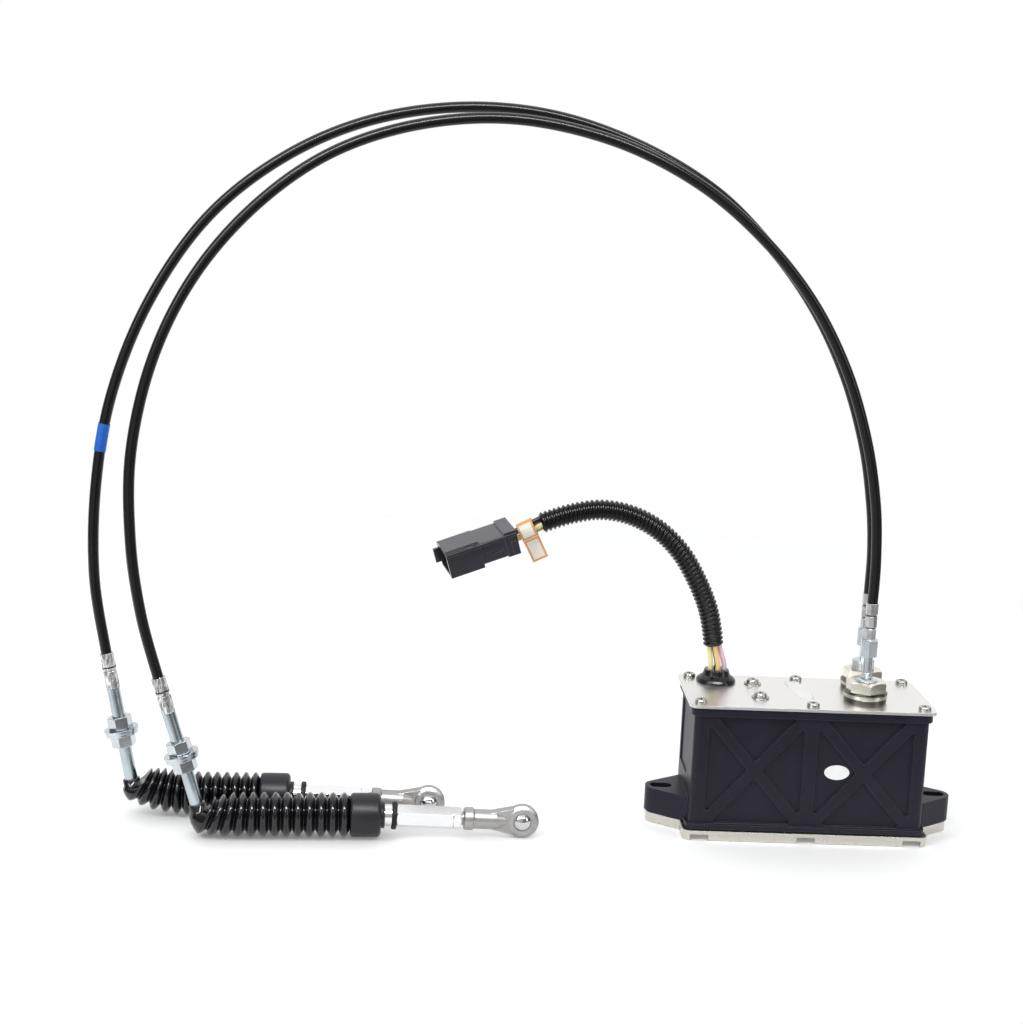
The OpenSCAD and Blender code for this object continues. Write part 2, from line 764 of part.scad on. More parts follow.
module connector_body() {
  color("#323238")
    at_plug()
      difference() {
        union() {
          // Rear collar, waist and the shell round the socket
          plug_block(0, plug_rear_len, plug_w - 0.4, -plug_z + 1.2, plug_z + 0.9);
          plug_block(plug_rear_len, plug_step, plug_w - 1.4, -plug_z + 2, plug_z - 0.5);
          plug_block(plug_step, plug_len, plug_w, -plug_z, plug_z);
          plug_block(plug_step, plug_len, plug_w - 4, plug_z, plug_z + 0.8);
          // Rails along both upper edges
          for (s = [-1, 1])
            translate([0, s * (plug_w / 2 - 0.6) - 1.2, plug_z - 2.6])
              cube([plug_len, 2.4, 1.8]);
          // Latch rib behind the rear collar and a lip past the far side of the mouth
          for (s = [-1, 1])
            translate([1.5, s * plug_w / 2 - 0.6, -plug_z + 2.4])
              cube([3, 1.2, plug_h * 0.5]);
          translate([plug_len - 1, -plug_w / 2, -plug_h * 0.28])
            cube([4.5, socket_wall, plug_h * 0.56]);
        }
        plug_block(socket_from, plug_len + past, socket_w, -socket_h / 2, socket_h / 2);
        // Slot and small recess along each side
        for (s = [-1, 1]) {
          translate([plug_rear_len + 2, s * plug_w / 2 - 1.5, -1.6])
            cube([8.5, 3, 1.3]);
          translate([plug_step - 3, s * plug_w / 2 - 1.5, -0.6])
            cube([1.6, 3, 1.3]);
        }
        for (at = wire_in_loom)
          translate([-past, -at[0], at[1]])
            rotate([0, 90, 0])
              cylinder(r = wire_r + loose_gap, h = past + wire_in_plug);
      }
}

module connector_wedge() {
  color("#e07a2a")
    at_plug()
      difference() {
        plug_block(socket_from, socket_from + wedge_len, socket_w - 2 * loose_gap,
          -plug_z * 0.5, plug_z * 0.5);
        for (y = [-1, 0, 1])
          for (z = [-0.5, 0.5])
            translate([0, y * pin_pitch, z * pin_pitch])
              rotate([0, 90, 0])
                cylinder(r = pin_r + slip_gap, h = plug_len);
      }
}

module connector_pins() {
  color("#c9a24a")
    at_plug()
      for (y = [-1, 0, 1])
        for (z = [-0.5, 0.5])
          translate([socket_from, y * pin_pitch, z * pin_pitch])
            rotate([0, 90, 0])
              cylinder(r = pin_r, h = pin_len);
}

// Paper flag folded round the wires behind the connector
tag_w = 10.2;
tag_drop = 20.5;
tag_t = 0.35;
tag_at = [-178.6, 8.5, 182.4];
tag_turn = -27;
tag_loop_r = 6.3;
tag_pinch = 10;

// Outline of the folded flag seen along the wires: a loop with a straight drop
module tag_shape(grow, drop) {
  polygon(concat([for (a = [-40:20:220]) (tag_loop_r + grow) * [cos(a), sin(a)]],
    [[-grow - 0.1, -tag_pinch], [-grow - 0.1, -drop], [grow + 0.1, -drop], [grow + 0.1, -tag_pinch]]));
}

module tag() {
  color("#f4f0e6")
    translate(tag_at)
      rotate([0, tag_turn, 0])
        rotate([90, 0, 90])
          linear_extrude(tag_w, center = true)
            difference() {
              tag_shape(tag_t, tag_drop);
              tag_shape(0, tag_drop + past);
            }
}

// Turns a shape drawn along +Z to lie along +X, at a distance x from the motor bracket
module along_x(x, y, z) {
  translate([mount_x + x, y, z])
    rotate([90, 0, 90])
      children();
}

module motor_bracket() {
  plate_w = inner_d - 2 * boss_r;
  low = motor_z - motor_r + 0.5;
  color("#9a9da2")
    difference() {
      union() {
        translate([mount_x - bracket_reach, -plate_w / 2, z_bracket])
          cube([bracket_reach + bracket_t, plate_w, bracket_t]);
        translate([mount_x, -plate_w / 2, low])
          cube([bracket_t, plate_w, z_lid - low]);
      }
      for (at = bracket_screws_at)
        translate([at[0], at[1], z_bracket - past])
          cylinder(r = screw_r + slip_gap, h = bracket_t + 2 * past);
      along_x(-past, motor_y, motor_z)
        cylinder(r = pilot_r + slip_gap, h = bracket_t + 2 * past);
      along_x(-past, drum_y, drum_z)
        cylinder(r = shaft_r + bush_wall, h = bracket_t + 2 * past);
      for (at = motor_screws_at)
        along_x(-past, at[0], at[1])
          cylinder(r = small_screw_r + slip_gap, h = bracket_t + 2 * past);
    }
}

pilot_r = 5;
motor_shaft_r = 2.2;
gearhead_len = 18;
small_screw_r = 1.5;
motor_screws_at = [for (s = [-1, 1]) [motor_y + s * (motor_r - 4), motor_z]];

module gearmotor() {
  color("#7d8086")
    difference() {
      union() {
        along_x(-gearhead_len, motor_y, motor_z)
          cylinder(r = motor_r, h = gearhead_len);
        along_x(-motor_len + 4, motor_y, motor_z)
          cylinder(r = motor_r - 0.8, h = motor_len - gearhead_len - 4);
        along_x(-motor_len, motor_y, motor_z)
          cylinder(r = motor_r - 2.5, h = 4);
        along_x(0, motor_y, motor_z)
          cylinder(r = pilot_r, h = bracket_t);
      }
      along_x(-gearhead_len + 3, motor_y, motor_z)
        cylinder(r = motor_shaft_r + run_gap, h = motor_len);
      for (at = motor_screws_at)
        along_x(-6, at[0], at[1])
          cylinder(r = small_screw_r + slip_gap, h = 6 + past);
    }
}

// Involute gear outline: tooth 0 points along +X
function inv(a) = tan(a) * 180 / PI - a;
function polar(r, a) = r * [cos(a), sin(a)];
module gear_outline(teeth, backlash) {
  pressure = 20;
  steps = 4;
  pitch_r = gear_module * teeth / 2;
  base_r = pitch_r * cos(pressure);
  tip_r = pitch_r + gear_module;
  floor_r = pitch_r - 1.25 * gear_module;
  start_r = max(base_r, floor_r);
  half = 90 / teeth + inv(pressure) - backlash / pitch_r * 90 / PI;
  flank = [for (i = [0:steps]) let (r = start_r + (tip_r - start_r) * i / steps)
    [r, half - inv(acos(base_r / r))]];
  polygon([for (t = [0:teeth - 1]) let (c = 360 * t / teeth) each concat(
    [polar(floor_r, c - half)],
    [for (p = flank) polar(p[0], c - p[1])],
    [for (i = [steps:-1:0]) polar(flank[i][0], c + flank[i][1])],
    [polar(floor_r, c + half)])]);
}

backlash = 0.12;
pinion_w = gear_w + 2;

module drive_pinion() {
  color("#c2b27a")
    along_x(0, motor_y, motor_z) {
      translate([0, 0, gear_x - 1])
        rotate(motor_angle + 180 - 180 / pinion_teeth)
          linear_extrude(pinion_w)
            gear_outline(pinion_teeth, backlash);
      translate([0, 0, -gearhead_len + 4])
        cylinder(r = motor_shaft_r, h = gearhead_len - 4 + gear_x);
    }
}

module bearing_bracket() {
  plate_y = [drum_y - drum_r - gland_r - 5, min(drum_y + drum_r + gland_r + 2, inner_d / 2 - 2)];
  low = drum_z - 16;
  color("#9a9da2")
    difference() {
      union() {
        translate([gland_x[front] - gland_r - 5, plate_y[0], z_bracket])
          cube([bearing_x + bracket_t - groove_x + gland_r + 5, plate_y[1] - plate_y[0], bracket_t]);
        translate([mount_x + bearing_x, drum_y - 16, low])
          cube([bracket_t, 32, z_lid - low]);
      }
      for (side = [front, rear])
        translate([gland_x[side], gland_y[side], z_bracket - past])
          cylinder(r = gland_r + loose_gap, h = bracket_t + 2 * past);
      along_x(bearing_x - past, drum_y, drum_z)
        cylinder(r = shaft_r + bush_wall, h = bracket_t + 2 * past);
      for (at = sensor_screws_at)
        along_x(bearing_x - past, at[0], at[1])
          cylinder(r = small_screw_r + slip_gap, h = bracket_t + 2 * past);
    }
}

module shaft_bushes() {
  color("#b08d57")
    for (x = [0, bearing_x])
      along_x(x, drum_y, drum_z)
        difference() {
          union() {
            cylinder(r = shaft_r + bush_wall, h = bracket_t);
            translate([0, 0, x == 0 ? bracket_t : -bush_flange_t])
              cylinder(r = shaft_r + 2 * bush_wall, h = bush_flange_t);
          }
          translate([0, 0, -2 * past])
            cylinder(r = shaft_r + run_gap, h = bracket_t + 4 * past);
        }
}

shaft_end = bearing_x + bracket_t + 6;

module drum_shaft() {
  color("#aeb1b5")
    along_x(0, drum_y, drum_z)
      cylinder(r = shaft_r, h = shaft_end);
}

hub_r = 7;
hub_from = bracket_t + bush_flange_t + loose_gap;
hub_to = bearing_x - bush_flange_t - loose_gap;
drum_from = groove_x - groove_pitch / 2 - 1;
nipple_r = 1.7;
nipple_turn = 80;

module drum_gear() {
  color("#d8d4c4")
    along_x(0, drum_y, drum_z)
      difference() {
        union() {
          translate([0, 0, gear_x])
            rotate(motor_angle)
              linear_extrude(gear_w)
                gear_outline(drum_teeth, backlash);
          translate([0, 0, hub_from])
            cylinder(r = hub_r, h = gear_x - hub_from);
        }
        cylinder(r = shaft_r, h = bearing_x);
      }
}

module cable_drum() {
  floor_r = drum_r - core_r - 0.2;
  flange_r = drum_r + 2.5;
  groove = core_r + 0.3;
  color("#4a4d52")
    along_x(0, drum_y, drum_z)
      difference() {
        rotate_extrude()
          polygon(concat([[shaft_r, gear_x + gear_w], [hub_r, gear_x + gear_w], [hub_r, drum_from],
            [flange_r, drum_from]],
            [for (x = groove_at) each [[flange_r, x - groove], [floor_r, x - groove], [floor_r, x + groove],
              [flange_r, x + groove]]],
            [[flange_r, drum_from + drum_w], [hub_r, drum_from + drum_w], [hub_r, hub_to],
              [shaft_r, hub_to]]));
        for (side = [front, rear])
          rotate(nipple_angle(side))
            translate([drum_r, 0, groove_at[side] - groove])
              cylinder(r = nipple_r + loose_gap, h = 2 * groove);
      }
}

// Angle of each wire's nipple on the drum, under the shaft
function nipple_angle(side) = side == front ? 180 + nipple_turn : 360 - nipple_turn;

// One pulled wire: its run from the gland, its wrap round the drum, and the nipple at its end
module drum_wire(side) {
  turn = side == front ? 1 : -1;
  from = side == front ? 180 : 0;
  end = from + turn * nipple_turn;
  grip = 8;
  path = concat([for (z = [cable_route[side][0][2], z_top, drum_z]) [gland_x[side], gland_y[side], z]],
    [for (a = [10:10:nipple_turn - grip]) let (at = from + turn * a)
      [gland_x[side], drum_y + drum_r * cos(at), drum_z + drum_r * sin(at)]]);
  color("#b8bbc0") {
    tube(path, core_r, wire_sides, [0, 0, -1], heading(path, len(path) - 1));
    along_x(groove_at[side] - core_r, drum_y, drum_z)
      rotate(end)
        translate([drum_r, 0, 0])
          cylinder(r = nipple_r, h = 2 * core_r);
  }
}

module front_drum_wire() {
  drum_wire(front);
}

module rear_drum_wire() {
  drum_wire(rear);
}

sensor_r = 11;
sensor_len = 8;
rotor_r = 6.2;
rotor_len = 3.5;
sensor_wall = 1.5;
sensor_screws_at = [for (s = [-1, 1]) [drum_y + s * 8.6, drum_z - 2]];

module sensor_case() {
  color("#3a4a3e")
    along_x(bearing_x + bracket_t, drum_y, drum_z)
      difference() {
        union() {
          cylinder(r = sensor_r, h = sensor_len);
          translate([0, 0, 0])
            linear_extrude(sensor_len - 2)
              translate([2, 0])
                square([11, 13]);
        }
        translate([0, 0, sensor_wall])
          cylinder(r = rotor_r + loose_gap, h = sensor_len - 2 * sensor_wall);
        translate([0, 0, -past])
          cylinder(r = shaft_r + loose_gap, h = 2 * past + sensor_wall);
        for (at = sensor_screws_at)
          translate([at[0] - drum_y, at[1] - drum_z, -past])
            cylinder(r = small_screw_r + slip_gap, h = sensor_len + 2 * past);
      }
}

module sensor_rotor() {
  color("#8f9296")
    along_x(bearing_x + bracket_t + sensor_wall + loose_gap, drum_y, drum_z)
      difference() {
        cylinder(r = rotor_r, h = rotor_len);
        translate([0, 0, -past])
          cylinder(r = shaft_r, h = rotor_len + 2 * past);
      }
}

// Screws that hold the motor to its bracket and the sensor to the bearing bracket
module mechanism_screws() {
  color("#85888d")
    union() {
      for (at = motor_screws_at)
        along_x(bracket_t, at[0], at[1])
          pan_screw(small_screw_r, bracket_t + 5, 2.6, 1.6);
      for (at = sensor_screws_at)
        along_x(bearing_x + bracket_t + sensor_len, at[0], at[1])
          pan_screw(small_screw_r, sensor_len + bracket_t, 2.2, 1.4);
    }
}

// Draws once at each gland, with z = 0 on the lid
module at_glands() {
  for (side = [front, rear])
    translate([gland_x[side], gland_y[side], z_top])
      children();
}

// The locknut fills the room up to the rear wall, and the shank in it leaves the nut its ring
locknut_r = inner_d / 2 - gland_y[rear] - loose_gap - 0.2;
locknut_af = 2 * cos(30) * locknut_r;
locknut_ring = 4;
locknut_h = 5;
locknut_bore_r = min(gland_r, locknut_r - locknut_ring);
gland_bore_r = core_r + 0.4;
z_gland_nut = gland_seal_t + gland_washer_t + gland_nut_h;
// How far each gland's thread stands out of its nut
thread_out = [0.8, gland_step_h];

module gland_locknuts() {
  color("#b9bcc0")
    at_glands()
      translate([0, 0, -lid_t - bracket_t - locknut_h])
        hex_nut(locknut_af, locknut_h, locknut_bore_r + run_gap);
}

module gland_washers() {
  color("#cfcabb")
    at_glands() {
      washer(gland_washer_r - 0.4, gland_r + loose_gap, gland_seal_t);
      translate([0, 0, gland_seal_t])
        washer(gland_washer_r, gland_r + loose_gap, gland_washer_t);
    }
}

module gland_nuts() {
  color("#cbc6b6")
    at_glands()
      translate([0, 0, z_gland_nut - gland_nut_h])
        rotate(32)
          hex_nut(gland_nut_af, gland_nut_h, gland_r + run_gap);
}

// Gland body turned about Z: thread, stem and the hexagon that carries the ferrule
module gland(side) {
  low = -lid_t - bracket_t - locknut_h - 1;
  thread_top = z_gland_nut + thread_out[side];
  neck_r = gland_r - 1.5;
  stem_r = gland_hex_af / 2 - 1.9;
  seat = -lid_t - bracket_t;
  nut_r = locknut_bore_r;
  shank = nut_r < gland_r ? [[nut_r, low], [nut_r, seat], [gland_r, seat]] : [[gland_r, low]];
  body = [[gland_r, thread_top - 0.6], [gland_r - 0.6, thread_top], [neck_r, thread_top],
    [stem_r, thread_top + 0.8], [stem_r, gland_hex_at], [0, gland_hex_at]];
  difference() {
    union() {
      rotate_extrude()
        polygon(concat([[0, low]], shank, body));
      translate([0, 0, gland_hex_at])
        rotate(20)
          hex(gland_hex_af, gland_hex_h);
    }
    translate([0, 0, low - past])
      cylinder(r = gland_bore_r, h = z_inlet - low + 2 * past);
  }
}

module cable_glands() {
  color("#a9b0b8")
    for (side = [front, rear])
      translate([gland_x[side], gland_y[side], z_top])
        gland(side);
}

// Crimped ferrule along Z: flattened sections between round collars, with the core's bore
module ferrule(r, length, sections) {
  gap = 1.2;
  each_len = (length - gap * (sections - 1)) / sections;
  difference() {
    union() {
      cylinder(r = r - 0.8, h = length);
      for (i = [0:sections - 1])
        translate([0, 0, i * (each_len + gap)])
          rotate(11 * i)
            cylinder(r = r, h = each_len, $fn = 8);
    }
    translate([0, 0, -past])
      cylinder(r = gland_bore_r, h = length + 2 * past);
  }
}

module inlet_ferrules() {
  color("#c3c5c7")
    at_glands()
      translate([0, 0, z_inlet])
        ferrule(inlet_ferrule_r, inlet_ferrule_len, 3);
}

// Draws at one far fitting, with its axis along -Z from the cable's end
module at_outlet(side) {
  translate(cable_route[side][len(cable_route[side]) - 1])
    rotate([0, -lean[side], yaw[side]])
      children();
}

module at_outlets() {
  for (side = [front, rear])
    at_outlet(side)
      children();
}

s_nut = outlet_ferrule_len + tube_upper_len;
s_washer = s_nut + tube_nut_h;
s_nut2 = s_washer + 2 * tube_washer_t;
s_boot = s_nut2 + tube_nut_h + tube_lower_len;
boot_grip = 4;

module outlet_ferrules() {
  color("#c3c5c7")
    at_outlets()
      translate([0, 0, -outlet_ferrule_len])
        ferrule(outlet_ferrule_r, outlet_ferrule_len, 2);
}

module outlet_tubes() {
  color("#a4b0b6")
    at_outlets()
      translate([0, 0, -s_boot - boot_grip])
        washer(tube_r, gland_bore_r, s_boot + boot_grip - outlet_ferrule_len);
}

module outlet_nuts() {
  color("#b7bec6")
    at_outlets()
      for (s = [s_washer, s_nut2 + tube_nut_h])
        translate([0, 0, -s])
          rotate(18)
            hex_nut(tube_nut_af, tube_nut_h, tube_r + run_gap);
}

module outlet_washers() {
  color("#c2c8cc")
    at_outlets()
      for (i = [1, 2])
        translate([0, 0, -s_washer - i * tube_washer_t])
          washer(tube_washer_r - (i - 1) * 0.6, tube_r + loose_gap, tube_washer_t);
}

// Direction of a far fitting's axis, away from its cable
function outlet_axis(side) = let (s = sin(lean[side]))
  [s * cos(yaw[side]), s * sin(yaw[side]), -cos(lean[side])];

module cable(side) {
  color("#1b1b1d")
    tube(smooth_path(cable_route[side], 2), cable_r, cable_sides, [0, 0, 1], outlet_axis(side));
}

module front_cable() {
  cable(front);
}

module rear_cable() {
  cable(rear);
}

tape_after = 15;
tape_t = 0.3;
tape_span = [0.64, 0.24];

module marker_tape() {
  at = [for (t = [0, 0.5, 1]) on_route(cable_route[rear], tape_after, t)];
  path = [at[0] + (at[1] - at[0]) * tape_span[0], at[1], at[1] + (at[2] - at[1]) * tape_span[1]];
  order = [0, 1, 2, 2, 1, 0];
  color("#2a78d0")
    hollow_skin([for (i = [0:5]) ring(path[order[i]], heading(at, 1),
      cable_r + slip_gap + (i < 3 ? tape_t : 0), cable_sides)], cable_sides);
}

// Boots: the fan of tilted pleats where each boot leaves its tube
pitch = [front_pitch, rear_pitch];
fan_pleats = 5;
fan_tilt = [24, 35];
fan_rise = [-0.5, 5.2];
neck_run = 5.5;
neck_taper = 1.4;
collar_skin = 1.2;
boot_sides = 20;
crest_flat = 1;
cuff_neck_len = 2.4;
cuff_neck_r = 8;
stem_in_cuff = 8;
// A ring's flat sides lie inside its corners by this factor
inside = cos(180 / boot_sides);

function fan(i) = pow(max(0, 1 - i / fan_pleats), 1.5);
function collar_u(side) = s_boot * sin(lean[side]);
function collar_z(side) = cable_route[side][len(cable_route[side]) - 1][2] - s_boot * cos(lean[side]);
function pleat_u(side, i) = collar_u(side) + neck_run + pitch[side] * i;
function cuff_u(side) = pleat_u(side, pleats - 0.5);
function rod_u(side) = cuff_u(side) + cuff_len;
// Centre, tilt and radius of a ring at pleat i, i may be a half
function pleat_ring(side, i, shift, r) = let (tilt = fan_tilt[side] * fan(i))
  [pleat_u(side, i) + shift * cos(tilt), crest_r + fan_rise[side] * fan(i) - shift * sin(tilt), tilt, r];
function crest_at(i) = crest_r - neck_taper * max(0, 1 - i / 2);
// Ring in the collar, s along the tube's axis from the collar's top
function collar_ring(side, s, r) = let (t = lean[side])
  [collar_u(side) + s * sin(t), collar_z(side) - s * cos(t), 90 - t, r];
// Ring of the flare, halfway from the collar to the first pleat
function flare_ring(side, r) = let (a = collar_ring(side, boot_grip, 0), b = pleat_ring(side, 0, 0, 0))
  [(a[0] + b[0]) / 2, (a[1] + b[1]) / 2, (a[2] + b[2]) / 2, r];
function cuff_ring(side, u, r) = [cuff_u(side) + u, crest_r, 0, r];
bore_skin = 1.7;
function boot_rings(side) = concat(
  [collar_ring(side, 0, tube_r + collar_skin), collar_ring(side, boot_grip, tube_r + collar_skin),
   flare_ring(side, (tube_r + collar_skin + crest_at(0)) / 2)],
  [for (i = [0:pleats - 1]) each concat(i == 0 ? [] : [pleat_ring(side, i - 0.5, 0, root_r)],
    [pleat_ring(side, i, -crest_flat / 2, crest_at(i)), pleat_ring(side, i, crest_flat / 2, crest_at(i))])],
  [cuff_ring(side, 0, root_r), cuff_ring(side, 0.6, cuff_r - 1.4), cuff_ring(side, 2, cuff_r),
   cuff_ring(side, cuff_len - 2, cuff_r), cuff_ring(side, cuff_len, cuff_r - 2),
   cuff_ring(side, cuff_len, cuff_neck_r), cuff_ring(side, cuff_len + cuff_neck_len, cuff_neck_r)],
  [cuff_ring(side, cuff_len + cuff_neck_len, stem_r + 0.5),
   cuff_ring(side, cuff_len - stem_in_cuff - 2, stem_r + 0.5)],
  [for (i = [pleats - 1:-1:0]) pleat_ring(side, i, 0, root_r - bore_skin)],
  [flare_ring(side, tube_r + collar_skin + 0.4), collar_ring(side, boot_grip, (tube_r + slip_gap) / inside),
   collar_ring(side, 0, (tube_r + slip_gap) / inside)]);

// Draws in the upright plane of one boot, with u along X and z up from the floor
module at_boot(side) {
  end = cable_route[side][len(cable_route[side]) - 1];
  translate([end[0], end[1], 0])
    rotate(yaw[side])
      children();
}

module boot(side) {
  color("#161618")
    at_boot(side)
      hollow_skin([for (q = boot_rings(side))
        ring([q[0], 0, q[1]], [cos(q[2]), 0, -sin(q[2])], q[3], boot_sides)], boot_sides);
}

module front_boot() {
  boot(front);
}

module rear_boot() {
  boot(rear);
}

// Bare wire inside the boot, from the tube to the coupler
module core_wire(side) {
  centres = concat(
    [collar_ring(side, boot_grip - 3, 0), collar_ring(side, boot_grip + 3.2, 0)],
    [for (i = [2:2:pleats - 1]) pleat_ring(side, i, 0, 0)],
    [cuff_ring(side, cuff_len - stem_in_cuff - 0.1, 0)]);
  path = [for (q = centres) [q[0], 0, q[1]]];
  color("#b8bbc0")
    at_boot(side)
      tube(path, core_r, wire_sides, [sin(lean[side]), 0, -cos(lean[side])], [1, 0, 0]);
}

module front_core_wire() {
  core_wire(front);
}

module rear_core_wire() {
  core_wire(rear);
}

// Rod pieces lie along X from the cuff's end, drooping until the eye meets the floor
wiper_w = 3;
wiper_r = 8.4;
bar_from = 9.7;
bar_to = bar_from + bar_len;
collar_from = bar_to + jam_h + 1.6;
eye_at = collar_from + shank_len + collar_len;
droop = asin((crest_r - eye_r) / eye_at);
thread_in = 14;

module at_rod(side) {
  at_boot(side)
    translate([rod_u(side), 0, crest_r])
      rotate([0, droop, 0])
        children();
}

// Turns a shape drawn along +Z to lie along the rod
module along_rod(side, from) {
  at_rod(side)
    translate([from, 0, 0])
      rotate([0, 90, 0])
        children();
}

module coupler(side) {
  color("#e3e4e4")
    along_rod(side, 0)
      difference() {
        union() {
          translate([0, 0, -stem_in_cuff])
            cylinder(r = stem_r, h = stem_in_cuff + bar_from);
          translate([0, 0, bar_from])
            intersection() {
              hex(bar_af, bar_len);
              rotate_extrude()
                polygon([[0, 0], [bar_af / 2, 0], [bar_af, bar_af / 3], [bar_af, bar_len - bar_af / 3],
                  [bar_af / 2, bar_len], [0, bar_len]]);
            }
        }
        translate([0, 0, bar_to - thread_in - 1])
          cylinder(r = thread_r + slip_gap, h = thread_in + 1 + past);
      }
}

module front_coupler() {
  coupler(front);
}

module rear_coupler() {
  coupler(rear);
}

// Rubber ring on the stem, against the bar
module wiper(side) {
  color("#1b1b1d")
    along_rod(side, bar_from - wiper_w)
      rotate_extrude()
        polygon([[stem_r, 0], [wiper_r - 0.6, 0], [wiper_r, 0.6], [wiper_r, wiper_w - 0.6],
          [wiper_r - 0.6, wiper_w], [stem_r, wiper_w]]);
}

module front_wiper() {
  wiper(front);
}

module rear_wiper() {
  wiper(rear);
}

module jam_nut(side) {
  color("#d4d6d6")
    along_rod(side, bar_to)
      hex_nut(bar_af, jam_h, thread_r + run_gap);
}

module front_jam_nut() {
  jam_nut(front);
}

module rear_jam_nut() {
  jam_nut(rear);
}

seat_step = 7;
seat_turn = 42;
seat_r = (ball_r + run_gap) / cos(seat_step / 2);

// Cast rod end: thread, collar, shank and the eye that holds the ball
module rod_end(side) {
  eye = collar_len + shank_len;
  tail = bar_to - collar_from - thread_in;
  shoulder = 0.8;
  color("#b3b4b3")
    at_rod(side)
      translate([collar_from, 0, 0])
        difference() {
          union() {
            rotate([0, 90, 0])
              rotate_extrude()
                polygon([[0, tail], [thread_r, tail], [thread_r, 0], [collar_r - shoulder, 0],
                  [collar_r, shoulder], [collar_r, collar_len - shoulder],
                  [collar_r - shoulder, collar_len], [shank_r, collar_len],
                  [shank_r, eye - eye_r - 6], [eye_w / 2 - 1, eye - eye_r + 3], [0, eye - eye_r + 3]]);
            // Flare of the shank into the eye
            rotate([90, 0, 0])
              linear_extrude(eye_w - 1, center = true)
                polygon([[eye - eye_r - 12, -shank_r + 1.5], [eye - eye_r - 4, -shank_r - 0.3],
                  [eye - eye_r * 0.55, -eye_r * 0.8], [eye - eye_r * 0.55, eye_r * 0.8],
                  [eye - eye_r - 4, shank_r + 0.3], [eye - eye_r - 12, shank_r - 1.5]]);
            translate([eye, 0, 0])
              rotate([90, 0, 0])
                rotate_extrude()
                  polygon([[0, -eye_w / 2], [eye_r - 2, -eye_w / 2], [eye_r, -eye_w / 2 + 1.6],
                    [eye_r, eye_w / 2 - 1.6], [eye_r - 2, eye_w / 2], [0, eye_w / 2]]);
          }
          // Seat that wraps the ball, in narrow bands
          translate([eye, 0, 0])
            rotate([90, 0, 0])
              rotate_extrude()
                polygon(concat([[0, -seat_r * sin(seat_turn)]],
                  [for (a = [-seat_turn:seat_step:seat_turn]) seat_r * [cos(a), sin(a)]],
                  [[0, seat_r * sin(seat_turn)]]));
        }
}

module front_rod_end() {
  rod_end(front);
}

module rear_rod_end() {
  rod_end(rear);
}

stud_neck_r = 3.4;
stud_hex_af = 10;
stud_hex_h = 4;
stud_hex_at = 9.4;

// Ball and its threaded stud, pointing away from the front
module ball_stud(side) {
  color("#d9dadb")
    at_rod(side)
      translate([eye_at, 0, 0]) {
        sphere(r = ball_r);
        rotate([-90, 0, 0]) {
          cylinder(r = stud_neck_r, h = stud_hex_at);
          translate([0, 0, stud_hex_at])
            hex(stud_hex_af, stud_hex_h);
          cylinder(r = stud_r, h = stud_hex_at + stud_hex_h + stud_len);
        }
      }
}

module front_ball_stud() {
  ball_stud(front);
}

module rear_ball_stud() {
  ball_stud(rear);
}

bottom_tray();
tray_gasket();
housing();
lid_gasket();
lid();
lid_screws();
bracket_screws();
tray_screws();
lid_label();
oval_label();
grommet();
wire_yellow();
wire_orange();
wire_pink();
wire_black();
loom();
connector_body();
connector_wedge();
connector_pins();
tag();
motor_bracket();
gearmotor();
drive_pinion();
bearing_bracket();
drum_shaft();
drum_gear();
cable_drum();
shaft_bushes();
sensor_case();
sensor_rotor();
mechanism_screws();
front_drum_wire();
rear_drum_wire();
gland_locknuts();
gland_washers();
gland_nuts();
cable_glands();
inlet_ferrules();
outlet_ferrules();
front_cable();
rear_cable();
marker_tape();
outlet_tubes();
outlet_nuts();
outlet_washers();
front_boot();
rear_boot();
front_core_wire();
rear_core_wire();
front_coupler();
rear_coupler();
front_wiper();
rear_wiper();
front_jam_nut();
rear_jam_nut();
front_rod_end();
rear_rod_end();
front_ball_stud();
rear_ball_stud();
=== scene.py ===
import math

import bmesh
import bpy
from mathutils import Matrix, Vector


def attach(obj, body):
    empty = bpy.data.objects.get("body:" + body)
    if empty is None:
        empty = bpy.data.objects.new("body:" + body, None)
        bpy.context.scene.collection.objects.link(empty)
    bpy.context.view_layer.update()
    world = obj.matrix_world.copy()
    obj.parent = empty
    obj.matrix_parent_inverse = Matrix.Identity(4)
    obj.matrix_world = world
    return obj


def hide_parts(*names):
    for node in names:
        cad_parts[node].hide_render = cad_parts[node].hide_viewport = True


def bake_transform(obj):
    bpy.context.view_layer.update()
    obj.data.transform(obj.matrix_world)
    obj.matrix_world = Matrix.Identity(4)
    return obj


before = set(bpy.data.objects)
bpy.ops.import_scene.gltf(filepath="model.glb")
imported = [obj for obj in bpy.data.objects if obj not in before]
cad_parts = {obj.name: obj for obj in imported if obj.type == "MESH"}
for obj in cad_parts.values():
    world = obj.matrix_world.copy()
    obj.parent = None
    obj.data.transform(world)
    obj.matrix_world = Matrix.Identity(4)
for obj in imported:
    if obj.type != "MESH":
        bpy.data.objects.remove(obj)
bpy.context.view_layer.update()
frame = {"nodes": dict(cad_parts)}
nodes = frame["nodes"]
MM = 0.001
ACROSS, BACK, UP = (1, 0, 0), (0, 1, 0), (0, 0, 1)
SIDES = ("front", "rear")


# Shader maths

# Sockets of a Mix node that are told apart only by their place when it mixes colours
MIX_AMOUNT, MIX_A, MIX_B, MIX_COLOUR = 0, 6, 7, 2


